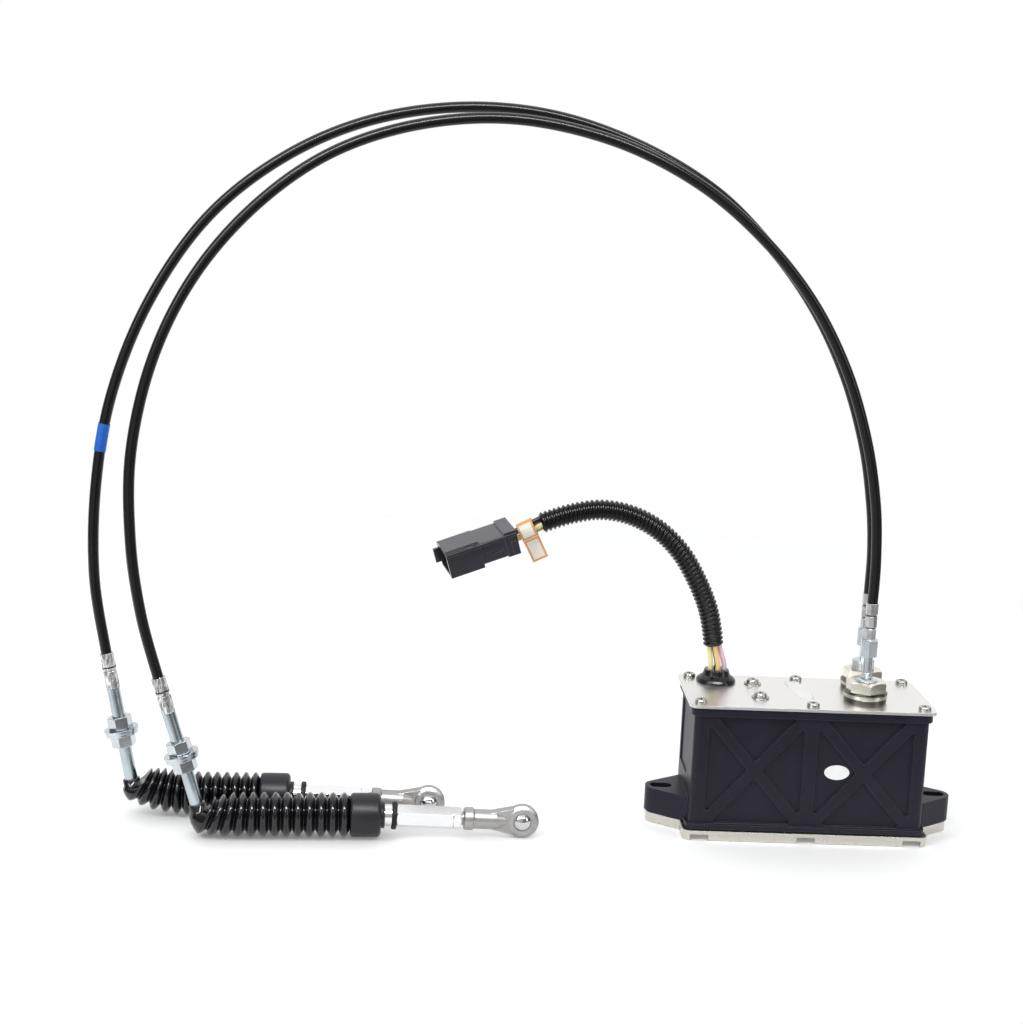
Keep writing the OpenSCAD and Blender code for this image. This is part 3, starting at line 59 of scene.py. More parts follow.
class Value:
    """A node's output socket; arithmetic on it adds Math nodes."""

    def __init__(self, nodes, socket):
        self.nodes, self.socket = nodes, socket

    def _math(self, operation, a, b):
        return self.nodes.make("ShaderNodeMath", {"operation": operation}, {0: a, 1: b})

    def __add__(self, other):
        return self._math("ADD", self, other)

    def __sub__(self, other):
        return self._math("SUBTRACT", self, other)

    def __rsub__(self, other):
        return self._math("SUBTRACT", other, self)

    def __mul__(self, other):
        return self._math("MULTIPLY", self, other)

    __radd__ = __add__
    __rmul__ = __mul__

    def step(self, low, high, start=0.0, end=1.0):
        """The start value below low and the end value above high, smooth between."""
        return self.nodes.make("ShaderNodeMapRange", {"interpolation_type": "SMOOTHSTEP"},
                               {"Value": self, "From Min": low, "From Max": high,
                                "To Min": start, "To Max": end})

    def sine(self):
        return self.nodes.make("ShaderNodeMath", {"operation": "SINE"}, {0: self})

    def absolute(self):
        return self.nodes.make("ShaderNodeMath", {"operation": "ABSOLUTE"}, {0: self})


class Nodes:
    """A node tree in which every node comes from make."""

    def __init__(self, tree):
        self.tree = tree

    def make(self, kind, settings=None, inputs=None, out=0):
        """Adds a node and gives back one of its outputs, or nothing where it has none."""
        node = self.tree.nodes.new(kind)
        for name, value in (settings or {}).items():
            setattr(node, name, value)
        for name, value in (inputs or {}).items():
            if isinstance(value, Value):
                self.tree.links.new(value.socket, node.inputs[name])
            else:
                node.inputs[name].default_value = value
        return Value(self, node.outputs[out]) if node.outputs else None


class Look(Nodes):
    """A material with one Principled shader, whose constants are set on its own sockets."""

    def __init__(self, name, constants):
        self.material = bpy.data.materials.new(name)
        self.material.use_nodes = True
        super().__init__(self.material.node_tree)
        self.shader = self.tree.nodes["Principled BSDF"]
        for socket, value in constants.items():
            self.shader.inputs[socket].default_value = value
        self.place = self.make("ShaderNodeTexCoord", out="Object")

    def feed(self, **sockets):
        for name, value in sockets.items():
            self.tree.links.new(value.socket, self.shader.inputs[name.replace("_", " ")])

    def noise(self, scale, detail=3.0, roughness=0.55, stretch=None):
        where = self.place
        if stretch:
            where = self.make("ShaderNodeMapping", None, {"Vector": where, "Scale": stretch})
        return self.make("ShaderNodeTexNoise", None,
                         {"Vector": where, "Scale": scale, "Detail": detail, "Roughness": roughness})

    def mix(self, amount, a, b):
        """Colour a where the amount is 0 and colour b where it is 1."""
        a, b = ((*c, 1) if isinstance(c, tuple) else c for c in (a, b))
        return self.make("ShaderNodeMix", {"data_type": "RGBA"},
                         {MIX_AMOUNT: amount, MIX_A: a, MIX_B: b}, MIX_COLOUR)

    def along(self, axis, start=(0, 0, 0)):
        """Distance in metres along an axis from a start point."""
        offset = self.make("ShaderNodeVectorMath", {"operation": "SUBTRACT"}, {0: self.place, 1: start})
        return self.make("ShaderNodeVectorMath", {"operation": "DOT_PRODUCT"}, {0: offset, 1: axis}, "Value")

    def rounded(self, radius):
        return self.make("ShaderNodeBevel", {"samples": 6}, {"Radius": radius})

    def edge(self, normal):
        """1 on a rounded edge, 0 on a plain face."""
        flat = self.make("ShaderNodeNewGeometry", out="Normal")
        dot = self.make("ShaderNodeVectorMath", {"operation": "DOT_PRODUCT"}, {0: normal, 1: flat}, "Value")
        return (1 - dot).step(0.01, 0.2)

    def bump(self, height, distance, normal=None):
        inputs = {"Height": height, "Distance": distance, "Strength": 1.0}
        if normal:
            inputs["Normal"] = normal
        return self.make("ShaderNodeBump", None, inputs)


def shade(rgb, factor):
    """A colour made darker or lighter."""
    return tuple(c * factor for c in rgb)


# How fine the patterns are, as noise scales per metre
PLATING_CLOUDS, METAL_GRAIN, BRUSHING = 90, 1500, 500
CRIMP_DENTS, CRIMP_GRAIN = 620, 1600
MOULD_CLOUDS, MOULD_DUST, PAPER_FIBRE = 45, 2600, 700
# Soft edges of drawn rings, grooves, lines and threads, and depths of fine relief, in metres
RING_SOFT, GROOVE_HALF, GROOVE_EDGE = 0.15 * MM, 0.3 * MM, 0.6 * MM
LINE_SOFT, THREAD_SOFT = 0.1 * MM, 0.2 * MM
METAL_RELIEF, CRIMP_RELIEF, CRIMP_ROUND, PAPER_RELIEF = 0.00003, 0.0005, 0.0004, 0.00002
# Depths of a drawn ring and a thread as multiples of the metal's relief, and the dark tones of ring and
# groove, painted shade in them
RING_DEPTH, THREAD_DEPTH, RING_TONE, GROOVE_SHADE_TONE = 3, 12, 0.16, 0.05


def metal(name, rgb, rough, mottle=0.12, round_mm=0.3, brushed=None, scratch=0.1, edge=1.12,
          threads=(), rings=()):
    """Plated or bare metal: cloudy plating, brushing or grain, edges paler with wear above an edge tone of 1
    and darker with painted shade below it, rings by height.
    """
    look = Look(name, {"Metallic": 1.0})
    cloud = look.noise(PLATING_CLOUDS, 4)
    fine = look.noise(METAL_GRAIN, 2)
    normal = look.rounded(round_mm * MM)
    rim_wear_and_painted_light = look.edge(normal)
    tone = look.mix(cloud.step(0.3, 0.7), shade(rgb, 1 - mottle), rgb)
    # Edge tone above 1 gives paler worn edges; below 1 it gives a painted dark rim, standing for shade and
    # dark reflection along the edge.
    tone = look.mix(rim_wear_and_painted_light * 0.7, tone, shade(rgb, edge))
    lines = look.noise(BRUSHING, 2, stretch=brushed) if brushed else fine
    height = lines * 0.3
    for middle, half in rings:
        off = (look.along(UP) - middle * MM).absolute()
        inside = 1 - off.step(half * MM - RING_SOFT, half * MM + RING_SOFT)
        tone = look.mix(inside, tone, shade(rgb, RING_TONE))
        height = height - inside * RING_DEPTH
    for axis, start, pitch, low, high in threads:
        run = look.along(axis, start)
        inside = run.step(low - THREAD_SOFT, low) * (1 - run.step(high, high + THREAD_SOFT))
        height = height + (run * (2 * math.pi / pitch)).sine() * inside * THREAD_DEPTH
    look.feed(Base_Color=tone, Roughness=rough + (cloud - 0.5) * 0.16 + (lines - 0.5) * scratch,
              Normal=look.bump(height, METAL_RELIEF, normal))
    return look.material


def crimped(name, rgb, grooves):
    """Squeezed steel sleeve: streaks along it, pale on raised dents and dark in hollows as partly painted
    shade, and one dark groove round each sleeve.
    """
    look = Look(name, {"Metallic": 1.0})
    dents = look.noise(CRIMP_DENTS, 3, 0.65, stretch=(1, 1, 0.3))
    fine = look.noise(CRIMP_GRAIN, 2)
    # Pale raised dents and dark hollows: random streaks, partly painted shade of the dents.
    bright = dents.step(0.38, 0.6)
    tone = look.mix(bright, shade(rgb, 0.35), shade(rgb, 1.25))
    height = dents + fine * 0.1
    side_x = look.along(ACROSS)
    for axis, start, at, low, high in grooves:
        inside = 1 - (look.along(axis, start) - at).absolute().step(GROOVE_HALF, GROOVE_EDGE)
        inside = inside * side_x.step(low, low + LINE_SOFT) * (1 - side_x.step(high, high + LINE_SOFT))
        # The groove is painted dark, as the shade inside its gap.
        tone = look.mix(inside, tone, shade(rgb, GROOVE_SHADE_TONE))
        height = height - inside
    look.feed(Base_Color=tone, Roughness=0.22 + (fine - 0.5) * 0.15 + (1 - bright) * 0.15,
              Normal=look.bump(height, CRIMP_RELIEF, look.rounded(CRIMP_ROUND)))
    return look.material


def moulded(name, rgb, rough, round_mm=0.4, grain=900, depth=0.00004, coat=0.0, rim_wear_and_highlight=0.35, dust=0.0,
            gloss=0.5, polish=0.15):
    """Moulded plastic or rubber: fine grain, slight sheen changes and paler edges, partly wear and partly
    painted highlight.
    """
    look = Look(name, {"Coat Weight": coat, "Coat Roughness": polish, "IOR": 1.5,
                       "Specular IOR Level": gloss})
    cloud = look.noise(MOULD_CLOUDS, 4)
    grit = look.noise(grain, 3, 0.65)
    normal = look.rounded(round_mm * MM)
    rim_wear_and_painted_light = look.edge(normal)
    tone = look.mix(cloud.step(0.25, 0.75), shade(rgb, 0.82), shade(rgb, 1.14))
    # Paler rounded edges: partly wear, partly painted highlight along the edges.
    tone = look.mix(rim_wear_and_painted_light * rim_wear_and_highlight, tone, tuple(c * 1.6 + 0.045 for c in rgb))
    if dust:
        specks = look.noise(MOULD_DUST, 1).step(0.7, 0.76)
        tone = look.mix(specks * dust, tone, tuple(c * 1.4 + 0.06 for c in rgb))
    look.feed(Base_Color=tone, Roughness=rough + (cloud - 0.5) * 0.12 + (grit - 0.5) * 0.1,
              Normal=look.bump(grit, depth, normal))
    return look.material


def paper(name, rgb, rough=0.55):
    """Plain blank label."""
    look = Look(name, {"IOR": 1.45})
    fibre = look.noise(PAPER_FIBRE, 4)
    look.feed(Base_Color=look.mix(fibre.step(0.3, 0.7), shade(rgb, 0.96), rgb),
              Roughness=rough + (fibre - 0.5) * 0.15, Normal=look.bump(fibre, PAPER_RELIEF))
    return look.material


def bordered_paper(name, rgb, border, middle, across, down, half_width, panels, edge_mm):
    """Blank paper with a printed frame round each of its panels."""
    look = Look(name, {"IOR": 1.45, "Roughness": 0.5})
    fibre = look.noise(PAPER_FIBRE, 4)
    x = look.along(across, middle).absolute()
    z = look.along(down, middle)
    line = edge_mm * MM
    frame_mask = 0
    for low, high in panels:
        outer = (1 - x.step(half_width - LINE_SOFT, half_width)) * z.step(low - LINE_SOFT, low) \
            * (1 - z.step(high, high + LINE_SOFT))
        inner = (1 - x.step(half_width - line, half_width - line + LINE_SOFT)) \
            * z.step(low + line, low + line + LINE_SOFT) * (1 - z.step(high - line, high - line + LINE_SOFT))
        frame_mask = frame_mask + (outer - inner)
    tone = look.mix(fibre.step(0.3, 0.7), shade(rgb, 0.96), rgb)
    look.feed(Base_Color=look.mix(frame_mask, tone, border), Normal=look.bump(fibre, PAPER_RELIEF))
    return look.material


# Routes, repeated from the CAD, in millimetres

CABLE_ROUTE = {
    "front": [(36, -11, 148), (36, -11, 175), (33, -11, 210), (24, -12, 250), (8, -14, 292), (-16, -17, 332),
              (-48, -20, 367), (-88, -24, 397), (-138, -29, 419), (-195, -35, 429), (-250, -40, 424),
              (-300, -46, 406), (-342, -50, 375), (-376, -54, 334), (-399, -56, 286), (-411, -57, 232),
              (-411, -58, 180), (-405, -57, 136), (-395, -56, 98)],
    "rear": [(40, 17, 148), (40, 17, 175), (37, 17, 205), (29, 16, 243), (14, 15, 285), (-8, 13, 325),
             (-37, 11, 361), (-74, 8, 394), (-122, 4, 419), (-175, 0, 434), (-230, -4, 436), (-285, -8, 425),
             (-334, -12, 401), (-376, -16, 365), (-409, -18, 315), (-430, -20, 260), (-439, -21, 205),
             (-440, -21, 150), (-433, -20, 102)],
}
LOOM_ROUTE = [(-56, 21, 110), (-58, 21, 122), (-62, 20, 136), (-70, 19, 153), (-81, 18, 170), (-96, 17, 184),
              (-114, 15, 193), (-133, 13, 196), (-152, 11, 193), (-170, 9, 187)]
CABLE_R, LOOM_R, WIRE_R, CORE_R = 3.25, 6.5, 1.6, 0.8
# Edges sharper than this, in degrees, stay sharp
CORD_SHARP, CUFF_SHARP = 40, 50
# Sides round a cord, and points for each stretch of its route
CORD_SIDES, WIRE_SIDES, CORE_SIDES = 32, 16, 12
CABLE_STEPS, LOOM_STEPS, WIRE_STEPS = 12, 16, 6
JACKET_ROUND, JACKET_STEPS = 6, 14


def on_route(p, i, t):
    """Point a share t of the way from point i of a route to the next, on a smooth curve."""
    a, b, c, d = (Vector(p[k]) for k in (max(i - 1, 0), i, i + 1, min(i + 2, len(p) - 1)))
    return 0.5 * (2 * b + (c - a) * t + (2 * a - 5 * b + 4 * c - d) * t ** 2
                  + (3 * b - a - 3 * c + d) * t ** 3)


def smooth_path(p, n):
    """A route with n points for each of its stretches."""
    return [on_route(p, i, k / n) for i in range(len(p) - 1) for k in range(n)] + [Vector(p[-1])]


def path_length(points):
    return sum((b - a).length for a, b in zip(points, points[1:]))


def even_path(points, step):
    """Points at even distances along a polyline."""
    total = path_length(points)
    count = max(2, round(total / step))
    out, done, i = [], 0.0, 0
    for k in range(count + 1):
        want = total * k / count
        while i < len(points) - 2 and done + (points[i + 1] - points[i]).length < want:
            done += (points[i + 1] - points[i]).length
            i += 1
        span = points[i + 1] - points[i]
        out.append(points[i] + span * ((want - done) / span.length))
    return out


# Mesh pieces

def ring_matrix(centre, direction):
    """Places a flat circle square to a direction, keeping its first point in step along a route."""
    t = direction.normalized()
    a = Vector((0, 1, 0)).cross(t).normalized()
    b = t.cross(a)
    turn = Matrix((a, b, t)).transposed().to_4x4()
    return Matrix.Translation(centre * MM) @ turn


def add_skin(bm, rings, sides, capped=True):
    """Bridges a row of circles, each given as centre, direction and radius in millimetres."""
    last = None
    for n, (centre, direction, radius) in enumerate(rings):
        cap = capped and n in (0, len(rings) - 1)
        made = bmesh.ops.create_circle(bm, cap_ends=cap, cap_tris=False, segments=sides, radius=radius * MM,
                                       matrix=ring_matrix(centre, direction))
        own = set(made["verts"])
        edges = [e for v in made["verts"] for e in v.link_edges if e.other_vert(v) in own]
        edges = list(dict.fromkeys(edges))
        if last:
            bmesh.ops.bridge_loops(bm, edges=last + edges)
        last = edges


def finish_mesh(name, bm, material, smooth_angle=None):
    """Makes a bmesh an object, smooth apart from edges sharper than the angle."""
    bmesh.ops.recalc_face_normals(bm, faces=bm.faces)
    for face in bm.faces:
        face.smooth = True
    mesh = bpy.data.meshes.new(name)
    bm.to_mesh(mesh)
    bm.free()
    mesh.materials.append(material)
    piece = bpy.data.objects.new(name, mesh)
    bpy.context.scene.collection.objects.link(piece)
    if smooth_angle:
        mesh.set_sharp_from_angle(angle=math.radians(smooth_angle))
    return piece


def headings(points):
    """Direction of a path at each of its points."""
    last = len(points) - 1
    return [(points[min(i + 1, last)] - points[max(i - 1, 0)]).normalized() for i in range(last + 1)]


def swept(name, paths, radius, sides, material):
    """One smooth round tube for each path."""
    bm = bmesh.new()
    for points in paths:
        add_skin(bm, [(p, d, radius) for p, d in zip(points, headings(points))], sides)
    return finish_mesh(name, bm, material, CORD_SHARP)


def cable(side, material):
    """A stiff cable as one smooth curve through the points of its route."""
    route = [Vector(p) * MM for p in CABLE_ROUTE[side]]
    curve = bpy.data.curves.new(f"{side}_cable_jacket", "CURVE")
    curve.dimensions = "3D"
    curve.bevel_depth = CABLE_R * MM
    curve.bevel_resolution = JACKET_ROUND
    curve.resolution_u = JACKET_STEPS
    curve.use_fill_caps = True
    spline = curve.splines.new("BEZIER")
    spline.bezier_points.add(len(route) - 1)
    for i, point in enumerate(spline.bezier_points):
        pull = (route[min(i + 1, len(route) - 1)] - route[max(i - 1, 0)]) / 6
        point.handle_left_type = point.handle_right_type = "FREE"
        point.co, point.handle_left, point.handle_right = route[i], route[i] - pull, route[i] + pull
    curve.materials.append(material)
    piece = bpy.data.objects.new(f"{side}_cable_jacket", curve)
    bpy.context.scene.collection.objects.link(piece)
    return piece


# Materials

LEAN = {"front": 16.5, "rear": 10.7}
YAW = {"front": 4.4, "rear": 2.7}


def outlet_axis(side):
    """Direction of a far end's tube, down from its cable."""
    lean, yaw = math.radians(LEAN[side]), math.radians(YAW[side])
    return Vector((math.sin(lean) * math.cos(yaw), math.sin(lean) * math.sin(yaw), -math.cos(lean)))


# The strong pale edges on the housing and connector are painted highlights along rib and top edges, with
# some wear.
HOUSING = moulded("housing_plastic", (0.0118, 0.0104, 0.0215), 0.42, 0.7, 1400, 0.00005,
                  rim_wear_and_highlight=0.8, dust=0.2, gloss=0.24)
BLACK_RUBBER = moulded("boot_rubber", (0.004, 0.0038, 0.0055), 0.2, 0.1, 500, 0.00002,
                       coat=0.8, rim_wear_and_highlight=0.05, gloss=0.15, polish=0.08)
CUFF_RUBBER = moulded("cuff_rubber", (0.013, 0.012, 0.018), 0.38, 0.3, 900, 0.00003, rim_wear_and_highlight=0.2, gloss=0.35)
SEAL = moulded("seal_rubber", (0.006, 0.006, 0.007), 0.55, 0.2, gloss=0.3)
GROMMET = moulded("grommet_rubber", (0.004, 0.004, 0.005), 0.24, 0.5, 700, 0.00003, coat=0.2, gloss=0.3)
JACKET = moulded("cable_jacket", (0.004, 0.004, 0.005), 0.26, 0.1, 1100, 0.00001,
                 coat=0.15, rim_wear_and_highlight=0.0, gloss=0.3)
LOOM = moulded("loom_plastic", (0.003, 0.003, 0.004), 0.3, 0.1, 900, 0.00001,
               coat=0.5, rim_wear_and_highlight=0.0, gloss=0.1, polish=0.07)
CONNECTOR = moulded("connector_plastic", (0.022, 0.021, 0.033), 0.24, 0.6, 1400, 0.00002,
                    coat=0.5, rim_wear_and_highlight=1.0, gloss=0.5, polish=0.1)
WEDGE = moulded("wedge_plastic", (0.55, 0.18, 0.03), 0.4)
TAPE = moulded("tape_blue", (0.012, 0.14, 0.62), 0.35, 0.05, 900, 0.00001, rim_wear_and_highlight=0.0)
WIRES = {
    "yellow": moulded("wire_yellow_skin", (0.82, 0.76, 0.36), 0.38, 0.1, rim_wear_and_highlight=0.0),
    "orange": moulded("wire_orange_skin", (0.78, 0.54, 0.22), 0.38, 0.1, rim_wear_and_highlight=0.0),
    "pink": moulded("wire_pink_skin", (0.80, 0.56, 0.68), 0.38, 0.1, rim_wear_and_highlight=0.0),
    "black": moulded("wire_black_skin", (0.012, 0.012, 0.013), 0.36, 0.1, rim_wear_and_highlight=0.0),
}
# Metals with an edge tone below 1 get painted dark rims: shade and dark reflection painted along their
# edges.
LID = metal("lid_nickel", (0.83, 0.815, 0.80), 0.32, 0.02, 0.6,
            brushed=(1, 14, 1), scratch=0.05, edge=0.08)
TRAY = metal("tray_nickel", (0.64, 0.615, 0.565), 0.28, 0.03, 0.5,
             brushed=(1, 10, 1), scratch=0.03, edge=0.25)
SCREW = metal("screw_steel", (0.50, 0.49, 0.46), 0.18, 0.2, 0.4, edge=0.1)
GLAND_NUT = metal("gland_nickel", (0.82, 0.775, 0.68), 0.2, 0.12, 0.6, edge=0.4)
# The washer's dark rings are painted shade: a wide band over the seal, partly the seal's own dark colour,
# and a thin line in the gap under the nut.
WASHER = metal("washer_nickel", (0.62, 0.59, 0.52), 0.34, 0.1, 0.2, rings=[(87.3, 1.4), (91.5, 0.4)])
GLAND = metal("gland_zinc", (0.73, 0.765, 0.80), 0.24, 0.2, 0.5, edge=0.5,
              threads=[(UP, (0, 0, 0), 0.0012, 0.0990, 0.1046)])
INLET = metal("inlet_steel", (0.74, 0.74, 0.745), 0.3, 0.3, 0.4, scratch=0.2,
              rings=[(132.6, 0.5), (140.4, 0.5)])
# Each sleeve's groove lies this far down it, and a limit in X between the two sleeves keeps it to its own
GROOVE_AT, BETWEEN_X, LEFT_X, RIGHT_X = 0.0088, -0.412, -0.6, -0.3
FERRULE = crimped("ferrule_steel", (0.72, 0.72, 0.72), [
    (outlet_axis("front"), Vector(CABLE_ROUTE["front"][-1]) * MM, GROOVE_AT, BETWEEN_X, RIGHT_X),
    (outlet_axis("rear"), Vector(CABLE_ROUTE["rear"][-1]) * MM, GROOVE_AT, LEFT_X, BETWEEN_X)])
TUBE = metal("tube_zinc", (0.51, 0.585, 0.615), 0.2, 0.2, 0.3, edge=0.5)
NUT = metal("nut_zinc", (0.62, 0.66, 0.69), 0.16, 0.15, 0.6, edge=0.3)
BAR = metal("bar_bright", (0.82, 0.82, 0.825), 0.16, 0.03, 0.4,
            brushed=(20, 1, 20), scratch=0.06, edge=0.55)
ROD_END = metal("rod_end_cast", (0.42, 0.41, 0.40), 0.36, 0.2, 0.8, scratch=0.25)
BALL = metal("ball_chrome", (0.60, 0.60, 0.61), 0.08, 0.04, 0.2)
BRACKET = metal("bracket_steel", (0.52, 0.53, 0.55), 0.36)
MOTOR = metal("motor_steel", (0.42, 0.43, 0.45), 0.4)
BRASS = metal("contact_brass", (0.78, 0.58, 0.25), 0.26)
BRONZE = metal("bush_bronze", (0.58, 0.38, 0.18), 0.42)
CORE = metal("core_steel", (0.58, 0.59, 0.61), 0.34)
GEAR = moulded("gear_plastic", (0.72, 0.68, 0.55), 0.45)
DRUM = moulded("drum_plastic", (0.06, 0.06, 0.065), 0.45)
SENSOR = moulded("sensor_plastic", (0.03, 0.06, 0.04), 0.5)
# The lid label's frame line keeps a margin inside its edges
LABEL_BOX = [Vector(corner) for corner in nodes["lid_label"].bound_box]
LABEL_MIDDLE = sum(LABEL_BOX, Vector()) / len(LABEL_BOX)
LABEL_MARGIN = Vector((0.7, 0.7, 0)) * MM
FAR_CORNER = 6
LABEL_HALF = LABEL_BOX[FAR_CORNER] - LABEL_MIDDLE - LABEL_MARGIN
LABEL = bordered_paper("label_white", (0.82, 0.82, 0.81), (0.42, 0.42, 0.43), LABEL_MIDDLE, ACROSS, BACK,
                       LABEL_HALF.x, [(-LABEL_HALF.y, LABEL_HALF.y)], 0.5)
OVAL = paper("oval_white", (0.97, 0.97, 0.97))
TAG_AT, TAG_TURN, TAG_HALF = (-0.1786, 0.0085, 0.1824), math.radians(27), 0.0051
TAG_ACROSS = (math.cos(TAG_TURN), 0, math.sin(TAG_TURN))
TAG_DOWN = (math.sin(TAG_TURN), 0, -math.cos(TAG_TURN))
TAG_PANELS = [(-0.0063, 0.0048), (0.0054, 0.0205)]
TAG = bordered_paper("tag_paper", (0.90, 0.87, 0.79), (0.80, 0.36, 0.10), TAG_AT, TAG_ACROSS, TAG_DOWN,
                     TAG_HALF, TAG_PANELS, 1.35)

NODE_LOOKS = {
    HOUSING: ["housing"], SEAL: ["tray_gasket", "lid_gasket", "front_wiper", "rear_wiper"], LID: ["lid"],
    TRAY: ["bottom_tray"], SCREW: ["lid_screws", "bracket_screws", "tray_screws", "mechanism_screws"],
    LABEL: ["lid_label"], OVAL: ["oval_label"], GROMMET: ["grommet"], CONNECTOR: ["connector_body"],
    WEDGE: ["connector_wedge"], BRASS: ["connector_pins", "drive_pinion"], TAG: ["tag"],
    BRACKET: ["motor_bracket", "bearing_bracket"], MOTOR: ["gearmotor"], GEAR: ["drum_gear"],
    DRUM: ["cable_drum"], BRONZE: ["shaft_bushes"], SENSOR: ["sensor_case"],
    CORE: ["drum_shaft", "sensor_rotor", "front_drum_wire", "rear_drum_wire"],
    GLAND_NUT: ["gland_locknuts", "gland_nuts"], WASHER: ["gland_washers"], GLAND: ["cable_glands"],
    INLET: ["inlet_ferrules"], FERRULE: ["outlet_ferrules"], TUBE: ["outlet_tubes"],
    NUT: ["outlet_nuts", "outlet_washers"],
    BAR: ["front_coupler", "rear_coupler", "front_jam_nut", "rear_jam_nut"],
    ROD_END: ["front_rod_end", "rear_rod_end"], BALL: ["front_ball_stud", "rear_ball_stud"],
}
for material, names in NODE_LOOKS.items():
    for name in names:
        slots = nodes[name].data.materials
        slots.clear()
        slots.append(material)

# Camera, at the photograph's viewing angle

YAW_CAM, PITCH_CAM, ROLL_CAM = 0.02797, 0.17769, 0.04188
CAMERA_AT = (-0.21789, -1.03014, 0.37994)
FOCAL_PX, PHOTO_PX, SENSOR_MM = 1700.46, 1024, 36
forward = Vector((math.sin(YAW_CAM) * math.cos(PITCH_CAM), math.cos(YAW_CAM) * math.cos(PITCH_CAM),
                  -math.sin(PITCH_CAM)))
level = Vector((math.cos(YAW_CAM), -math.sin(YAW_CAM), 0))
above = level.cross(forward)
right = math.cos(ROLL_CAM) * level + math.sin(ROLL_CAM) * above
top = -math.sin(ROLL_CAM) * level + math.cos(ROLL_CAM) * above
camera_data = bpy.data.cameras.new("camera")
camera_data.sensor_width = SENSOR_MM
camera_data.lens = FOCAL_PX / PHOTO_PX * SENSOR_MM
camera = bpy.data.objects.new("camera", camera_data)
camera_turn = Matrix((right, top, -forward)).transposed().to_4x4()
camera.matrix_world = Matrix.Translation(CAMERA_AT) @ camera_turn
bpy.context.scene.collection.objects.link(camera)
bpy.context.scene.camera = camera

# Cables

for side in SIDES:
    jacket = cable(side, JACKET)
    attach(jacket, "actuator")
    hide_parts(f"{side}_cable")

# The tape lies on one stretch of the rear route, between two shares of that stretch
TAPE_STRETCH, TAPE_FROM, TAPE_SHARE, TAPE_STEPS, TAPE_T = 15, 0.31, 0.30, 6, 0.35
tape_path = [on_route(CABLE_ROUTE["rear"], TAPE_STRETCH, TAPE_FROM + TAPE_SHARE * k / TAPE_STEPS)
             for k in range(TAPE_STEPS + 1)]
tape = bmesh.new()
way = headings(tape_path)
tape_rings = [(p, d, CABLE_R + TAPE_T) for p, d in zip(tape_path, way)]
add_skin(tape, [(tape_path[0], way[0], CABLE_R), *tape_rings, (tape_path[-1], way[-1], CABLE_R)],
         CORD_SIDES)
tape = finish_mesh("blue_tape", tape, TAPE, CORD_SHARP)
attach(tape, "actuator")
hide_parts("marker_tape")
for side, carried in (("front", ["outlet_ferrules"]), ("rear", ["outlet_tubes", tape])):
    path_length(smooth_path(CABLE_ROUTE[side], CABLE_STEPS)) * MM

# Ribbed loom

RIB_PITCH, RIB_H, POINTS_A_RIB, HEADING_SPAN = 2.9, 1.1, 25, 6
# One rib as shares of its pitch and of its height
RIB_PROFILE = [(0.0, 0.0), (0.16, 0.06), (0.27, 0.75), (0.36, 1.0), (0.64, 1.0), (0.73, 0.75), (0.84, 0.06)]
loom_line = smooth_path(LOOM_ROUTE, LOOM_STEPS)
loom_total = path_length(loom_line)
rib_count = round(loom_total / RIB_PITCH)
loom_points = even_path(loom_line, loom_total / (rib_count * POINTS_A_RIB))


def loom_at(share):
    """Point and direction a share of the way along the loom."""
    last = len(loom_points) - 1
    k = min(max(round(share * last), 0), last)
    a, b = loom_points[max(k - HEADING_SPAN, 0)], loom_points[min(k + HEADING_SPAN, last)]
    return loom_points[k], (b - a).normalized()


loom_rings = [(*loom_at((i + t) / rib_count), LOOM_R - RIB_H + RIB_H * high)
              for i in range(rib_count) for t, high in RIB_PROFILE] + [(*loom_at(1.0), LOOM_R - RIB_H)]
loom = bmesh.new()
add_skin(loom, loom_rings, CORD_SIDES)
loom = finish_mesh("ribbed_loom", loom, LOOM)
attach(loom, "actuator")
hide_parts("loom")
[tuple(p * MM) for p in loom_points[::POINTS_A_RIB]]

# Wires

WIRE_IN_GROMMET = {"yellow": (-4.2, -1), "orange": (0.3, -3), "pink": (4.4, -0.8), "black": (0.3, 3.2)}
WIRE_IN_LOOM = {"yellow": (-3, -0.5), "orange": (0.5, -2.8), "pink": (3.6, 0.2), "black": (0.2, 3)}
MOTOR_END, SENSOR_TOP, MOTOR_Y, MOTOR_Z = -58.0, 61.5, -11.166, 24.503


def motor_lead(y, z, side_y):
    """Wire inside the box, from below the grommet down to the motor's end."""
    return [(MOTOR_END - 2 + z - 62, side_y, z), (MOTOR_END - 6, side_y - 12, z - 14),
            (MOTOR_END - 7, y, MOTOR_Z + 10), (MOTOR_END - 4, y, MOTOR_Z + 4),
            (MOTOR_END - 0.4, y, MOTOR_Z + 3.5)]


def sensor_lead(start, z):
    """Wire inside the box, from below the grommet along the back to the sensor."""
    return [(-53 + start, 25, z + 13), (-40 + start, 26, z + 4), (-10, 26, z), (30, 26, z),
            (SENSOR_TOP - 11.5, 26, z), (SENSOR_TOP - 2.5, 24, z), (SENSOR_TOP, 16.7, z)]


WIRE_ENDS = {"yellow": motor_lead(MOTOR_Y + 5, 62, 14), "orange": motor_lead(MOTOR_Y - 4, 64, 6),
             "pink": sensor_lead(9, 54), "black": sensor_lead(3, 48)}
GROMMET_AT = Vector((-53, 21))
Z_LID, Z_TOP, GROMMET_H, LIP_H = 84.2, 86.0, 8.0, 2.0
PLUG_AT = Vector((-187, 8, 178))
PLUG_TURN = Matrix.Rotation(math.radians(193.3), 3, "Z") @ Matrix.Rotation(math.radians(18.4), 3, "Y") \
    @ Matrix.Rotation(math.radians(-10), 3, "X")
foot, foot_way = Vector(LOOM_ROUTE[0]), Vector(LOOM_ROUTE[1]) - Vector(LOOM_ROUTE[0])
tail, tail_way = Vector(LOOM_ROUTE[-1]), (Vector(LOOM_ROUTE[-1]) - Vector(LOOM_ROUTE[-2])).normalized()
